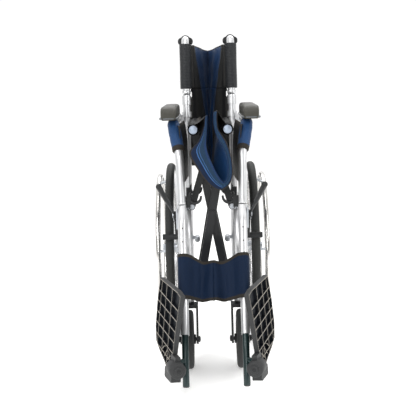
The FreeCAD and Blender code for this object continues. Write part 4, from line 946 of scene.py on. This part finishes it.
def ring_solid(name, outer, inner, n0, n1, s, front, side):
    k = len(outer)
    pts = np.zeros((k, 4, 3))
    for i in range(k):
        for j, (q, c) in enumerate(((outer[i], n0), (outer[i], n1), (inner[i], n1), (inner[i], n0))):
            pts[i, j] = onp(q[0], q[1], c, s)
    o = grid(name, pts, [front, side], lambda i, j: 0 if j == 3 else 1, close_u=True, close_v=True)
    for f in o.data.polygons:
        f.use_smooth = False
    return o


def rib(name, a, b, w, n0, n1, s):
    a, b = np.array(a, float), np.array(b, float)
    d = (b - a) / np.linalg.norm(b - a)
    m = np.array([-d[1], d[0]]) * w / 2
    pts = np.zeros((2, 4, 3))
    for i, q in enumerate((a, b)):
        for j, (e, c) in enumerate(((-1, n0), (1, n0), (1, n1), (-1, n1))):
            z = q + m * e
            pts[i, j] = onp(z[0], z[1], c, s)
    # rib top in the pale colour is a painted highlight; its sides and base in the pocket colour are painted shade
    o = grid(name, pts, ["rib_painted_highlight", "pocket_painted_shade"], lambda i, j: 0 if j == 0 else 1, close_v=True, cap=True)
    for f in o.data.polygons:
        f.use_smooth = False
    return o


def slab(name, poly, n0, n1, s, m):
    pts = np.array([[onp(q[0], q[1], c, s) for q in poly] for c in (n0, n1)])
    o = grid(name, pts, [m], None, close_v=True, cap=True)
    for f in o.data.polygons:
        f.use_smooth = False
    return o


def plate_box(name, a0, a1, b0, b1, c0, c1, s, m, r=2.5):
    poly = []
    for cx, cy, st in ((a1 - r, b1 - r, 0), (a0 + r, b1 - r, 90), (a0 + r, b0 + r, 180), (a1 - r, b0 + r, 270)):
        for k in range(5):
            a = math.radians(st + 22.5 * k)
            poly.append((cx + r * math.cos(a), cy + r * math.sin(a)))
    return slab(name, poly, c0, c1, s, m)


def footplate(side, s):
    objs = []
    p1 = inset(PO, 2.6)
    p2 = inset(PO, 4.2)
    objs.append(slab("back", inset(PO, 0.6), 9.6, 12.0, s, "plate"))
    # the recess floor takes the near-black pocket colour, painted shade in the recess
    objs.append(slab("floor", p1, 8.6, 9.7, s, "pocket_painted_shade"))
    objs.append(ring_solid("edge", np.array(PO, float), p1, 0.6, 11.2, s, "plate", "plate"))
    # the inner ring's top in the pale colour is a painted highlight, its sides in the pocket colour painted shade
    objs.append(ring_solid("line", p1, p2, 0.2, 9.0, s, "rib_painted_highlight", "pocket_painted_shade"))
    lines = []
    for t0 in (173.0, 145.6, 117.4, 88.6, 60.0, 31.5, 6.0):
        lines.append(((0.0, t0 - 3.4), (230.0, t0 + 16.2)))
    for s0 in (89.0, 138.0, 183.0):
        lines.append(((s0 - 16.0, 200.0), (s0 + 20.0, -30.0)))
    for a, b in lines[1:]:
        ks = np.linspace(0, 1, 600)
        a_, b_ = np.array(a), np.array(b)
        hit = [k for k in ks if inside(a_ + (b_ - a_) * k, p1)]
        if len(hit) > 8:
            objs.append(rib("rib", a_ + (b_ - a_) * min(hit), a_ + (b_ - a_) * max(hit), 2.3, 0.4, 9.0, s))
    for a, b in (((78, 20), (104, 2)), ((104, 28), (128, 6)), ((132, 30), (158, 12)), ((92, 30), (76, 4))):
        objs.append(rib("strut", a, b, 2.2, 1.0, 9.0, s))
    # hinge: barrel, neck and square stop lobe, with a screw in its end
    objs.append(bar("barrel", onp(14, 0, 4.5, s), onp(58, 0, 4.5, s), 20.0, "plate", 64, 2.5))
    objs.append(bar("boss", onp(10.5, 0, 4.5, s), onp(15, 0, 4.5, s), 11.0, "plate", 40, 1.5))
    objs.append(bar("screw", onp(8.8, 0, 4.5, s), onp(11, 0, 4.5, s), 5.0, "plastic", 28, 0.8))
    objs.append(plate_box("neck", 26, 66, 0, 30, -0.6, 12.4, s, "plate"))
    objs.append(plate_box("lobe", 24, 66, -31, -4, -9.5, 14.5, s, "plate", 4.0))
    objs.append(plate_box("stop", 60, 92, -34, -8, -7.0, 9.0, s, "plate", 4.0))
    o = join("footplate_" + side + "_looks", objs)
    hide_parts("footplate_" + side)
    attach(o, "footplate_body_" + side)
    # extension tube with its welded side branch
    h0 = np.array([s * 75.5, -520.0, 130.0])
    d = np.array([-s * 3.5, -158.0, -262.0])
    d = d / np.linalg.norm(d)
    tb = [bar("ext", h0 - d * 110, h0 + d * 128, 8.5, "greentube", 56, 0.8),
          bar("extend", h0 + d * 127.2, h0 + d * 128.6, 7.2, "plastic", 40, 0.4)]
    b0, b1, b2 = h0 + d * 63, onp(70, 0, 4.5, s), onp(16, 0, 4.5, s)
    pth, _ = resample(polyline([b0, b1, b2], [11]), 3)
    tb.append(sweep("branch", pth, 7.0, "greentube", 36))
    o = join("footrest_tube_" + side + "_looks", tb)
    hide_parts("footrest_tube_" + side)
    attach(o, "footrest_" + side)


for side, s in SIDES:
    footplate(side, s)

# silver rail-end discs, smooth
for nm, x, bd in (("a", 44, "brace_a_body"), ("b", -44, "brace_b_body")):
    c1 = bar("cap", (x, -386, 632), (x, -391.0, 632), 11.0, "disc", 56, 1.6)
    c2 = bar("cap", (x, 2.1, 632), (x, 5.0, 632), 11.0, "plastic", 40, 1.0)
    c3 = bar("cap", (x, -390.8, 632), (x, -391.9, 632), 8.4, "disc", 48, 0.5)
    o = join("rail_caps_%s_looks" % nm, [c1, c2, c3])
    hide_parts("rail_caps_" + nm)
    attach(o, bd)

# ------------------------------------------------------------- stage, light, camera
bpy.ops.mesh.primitive_circle_add(vertices=96, radius=14, fill_type="NGON", location=(0, 0, -0.0006))
floor = bpy.context.active_object
floor.name = "floor"
fm = mat("pale_floor", (0.95, 0.948, 0.94), 0.7, 0.0, 0.0, 2.0, 0.002, spec=0.1)
fb = fm.node_tree.nodes["Principled BSDF"]
fb.inputs["Emission Color"].default_value = (1, 0.995, 0.985, 1)
fb.inputs["Emission Strength"].default_value = 0.37
floor.data.materials.append(fm)

# studio surround: white behind the chair, dimmer toward the front and the sides
world = bpy.data.worlds.new("studio")
bpy.context.scene.world = world
world.use_nodes = True
wn = world.node_tree
bg = wn.nodes["Background"]
wc = wn.nodes.new("ShaderNodeTexCoord")
ws = wn.nodes.new("ShaderNodeSeparateXYZ")
wn.links.new(wc.outputs["Generated"], ws.inputs[0])
wr = wn.nodes.new("ShaderNodeMapRange")
wr.interpolation_type = "SMOOTHSTEP"
wr.inputs["From Min"].default_value = -0.45
wr.inputs["From Max"].default_value = 0.55
wr.inputs["To Min"].default_value = 0.42
wr.inputs["To Max"].default_value = 1.04
wn.links.new(ws.outputs["Y"], wr.inputs["Value"])
wn.links.new(wr.outputs["Result"], bg.inputs["Strength"])
bg.inputs["Color"].default_value = (1.0, 1.0, 1.0, 1)


def area(name, loc, target, size, power, color=(1, 1, 1)):
    l = bpy.data.lights.new(name, "AREA")
    l.energy = power
    l.shape = "RECTANGLE"
    l.size, l.size_y = size
    l.color = color
    o = bpy.data.objects.new(name, l)
    bpy.context.scene.collection.objects.link(o)
    o.location = loc
    d = Vector(target) - Vector(loc)
    o.rotation_euler = d.to_track_quat("-Z", "Y").to_euler()
    return o


area("key", (-1.9, -2.0, 2.3), (0, -0.1, 0.4), (0.9, 1.6), 34)
area("fill", (2.3, -1.2, 1.7), (0, -0.1, 0.4), (0.8, 1.6), 22)
area("front", (-0.5, -3.3, 1.5), (0, -0.1, 0.45), (0.7, 2.0), 26)
area("rear", (0.2, 2.4, 2.4), (0, 0, 0.5), (2.0, 1.2), 22)
area("top", (0, -0.4, 3.2), (0, 0, 0.3), (1.6, 1.6), 26)

xc, D, hh = -0.008, 2.687, 0.763
yaw, pitch, roll, f = math.radians(-0.07), math.radians(8.24), math.radians(-1.41), 900.0
fw = Vector((math.sin(yaw) * math.cos(pitch), math.cos(yaw) * math.cos(pitch), -math.sin(pitch)))
r = Vector((math.cos(yaw), -math.sin(yaw), 0.0))
up = r.cross(fw)
r2 = r * math.cos(roll) + up * math.sin(roll)
up2 = -r * math.sin(roll) + up * math.cos(roll)
cam = bpy.data.cameras.new("camera")
cam.lens = 36.0 * f / 416.0
cam.sensor_width = 36.0
cam.sensor_fit = "HORIZONTAL"
cam.clip_end = 60
co = bpy.data.objects.new("camera", cam)
bpy.context.scene.collection.objects.link(co)
mw = Matrix.Identity(4)
for k in range(3):
    mw[k][0], mw[k][1], mw[k][2] = r2[k], up2[k], -fw[k]
mw[0][3], mw[1][3], mw[2][3] = xc, -D + Y0 / 1000.0, hh
co.matrix_world = mw
bpy.context.scene.camera = co
bpy.context.scene.view_settings.view_transform = "Standard"
bpy.context.scene.view_settings.look = "None"
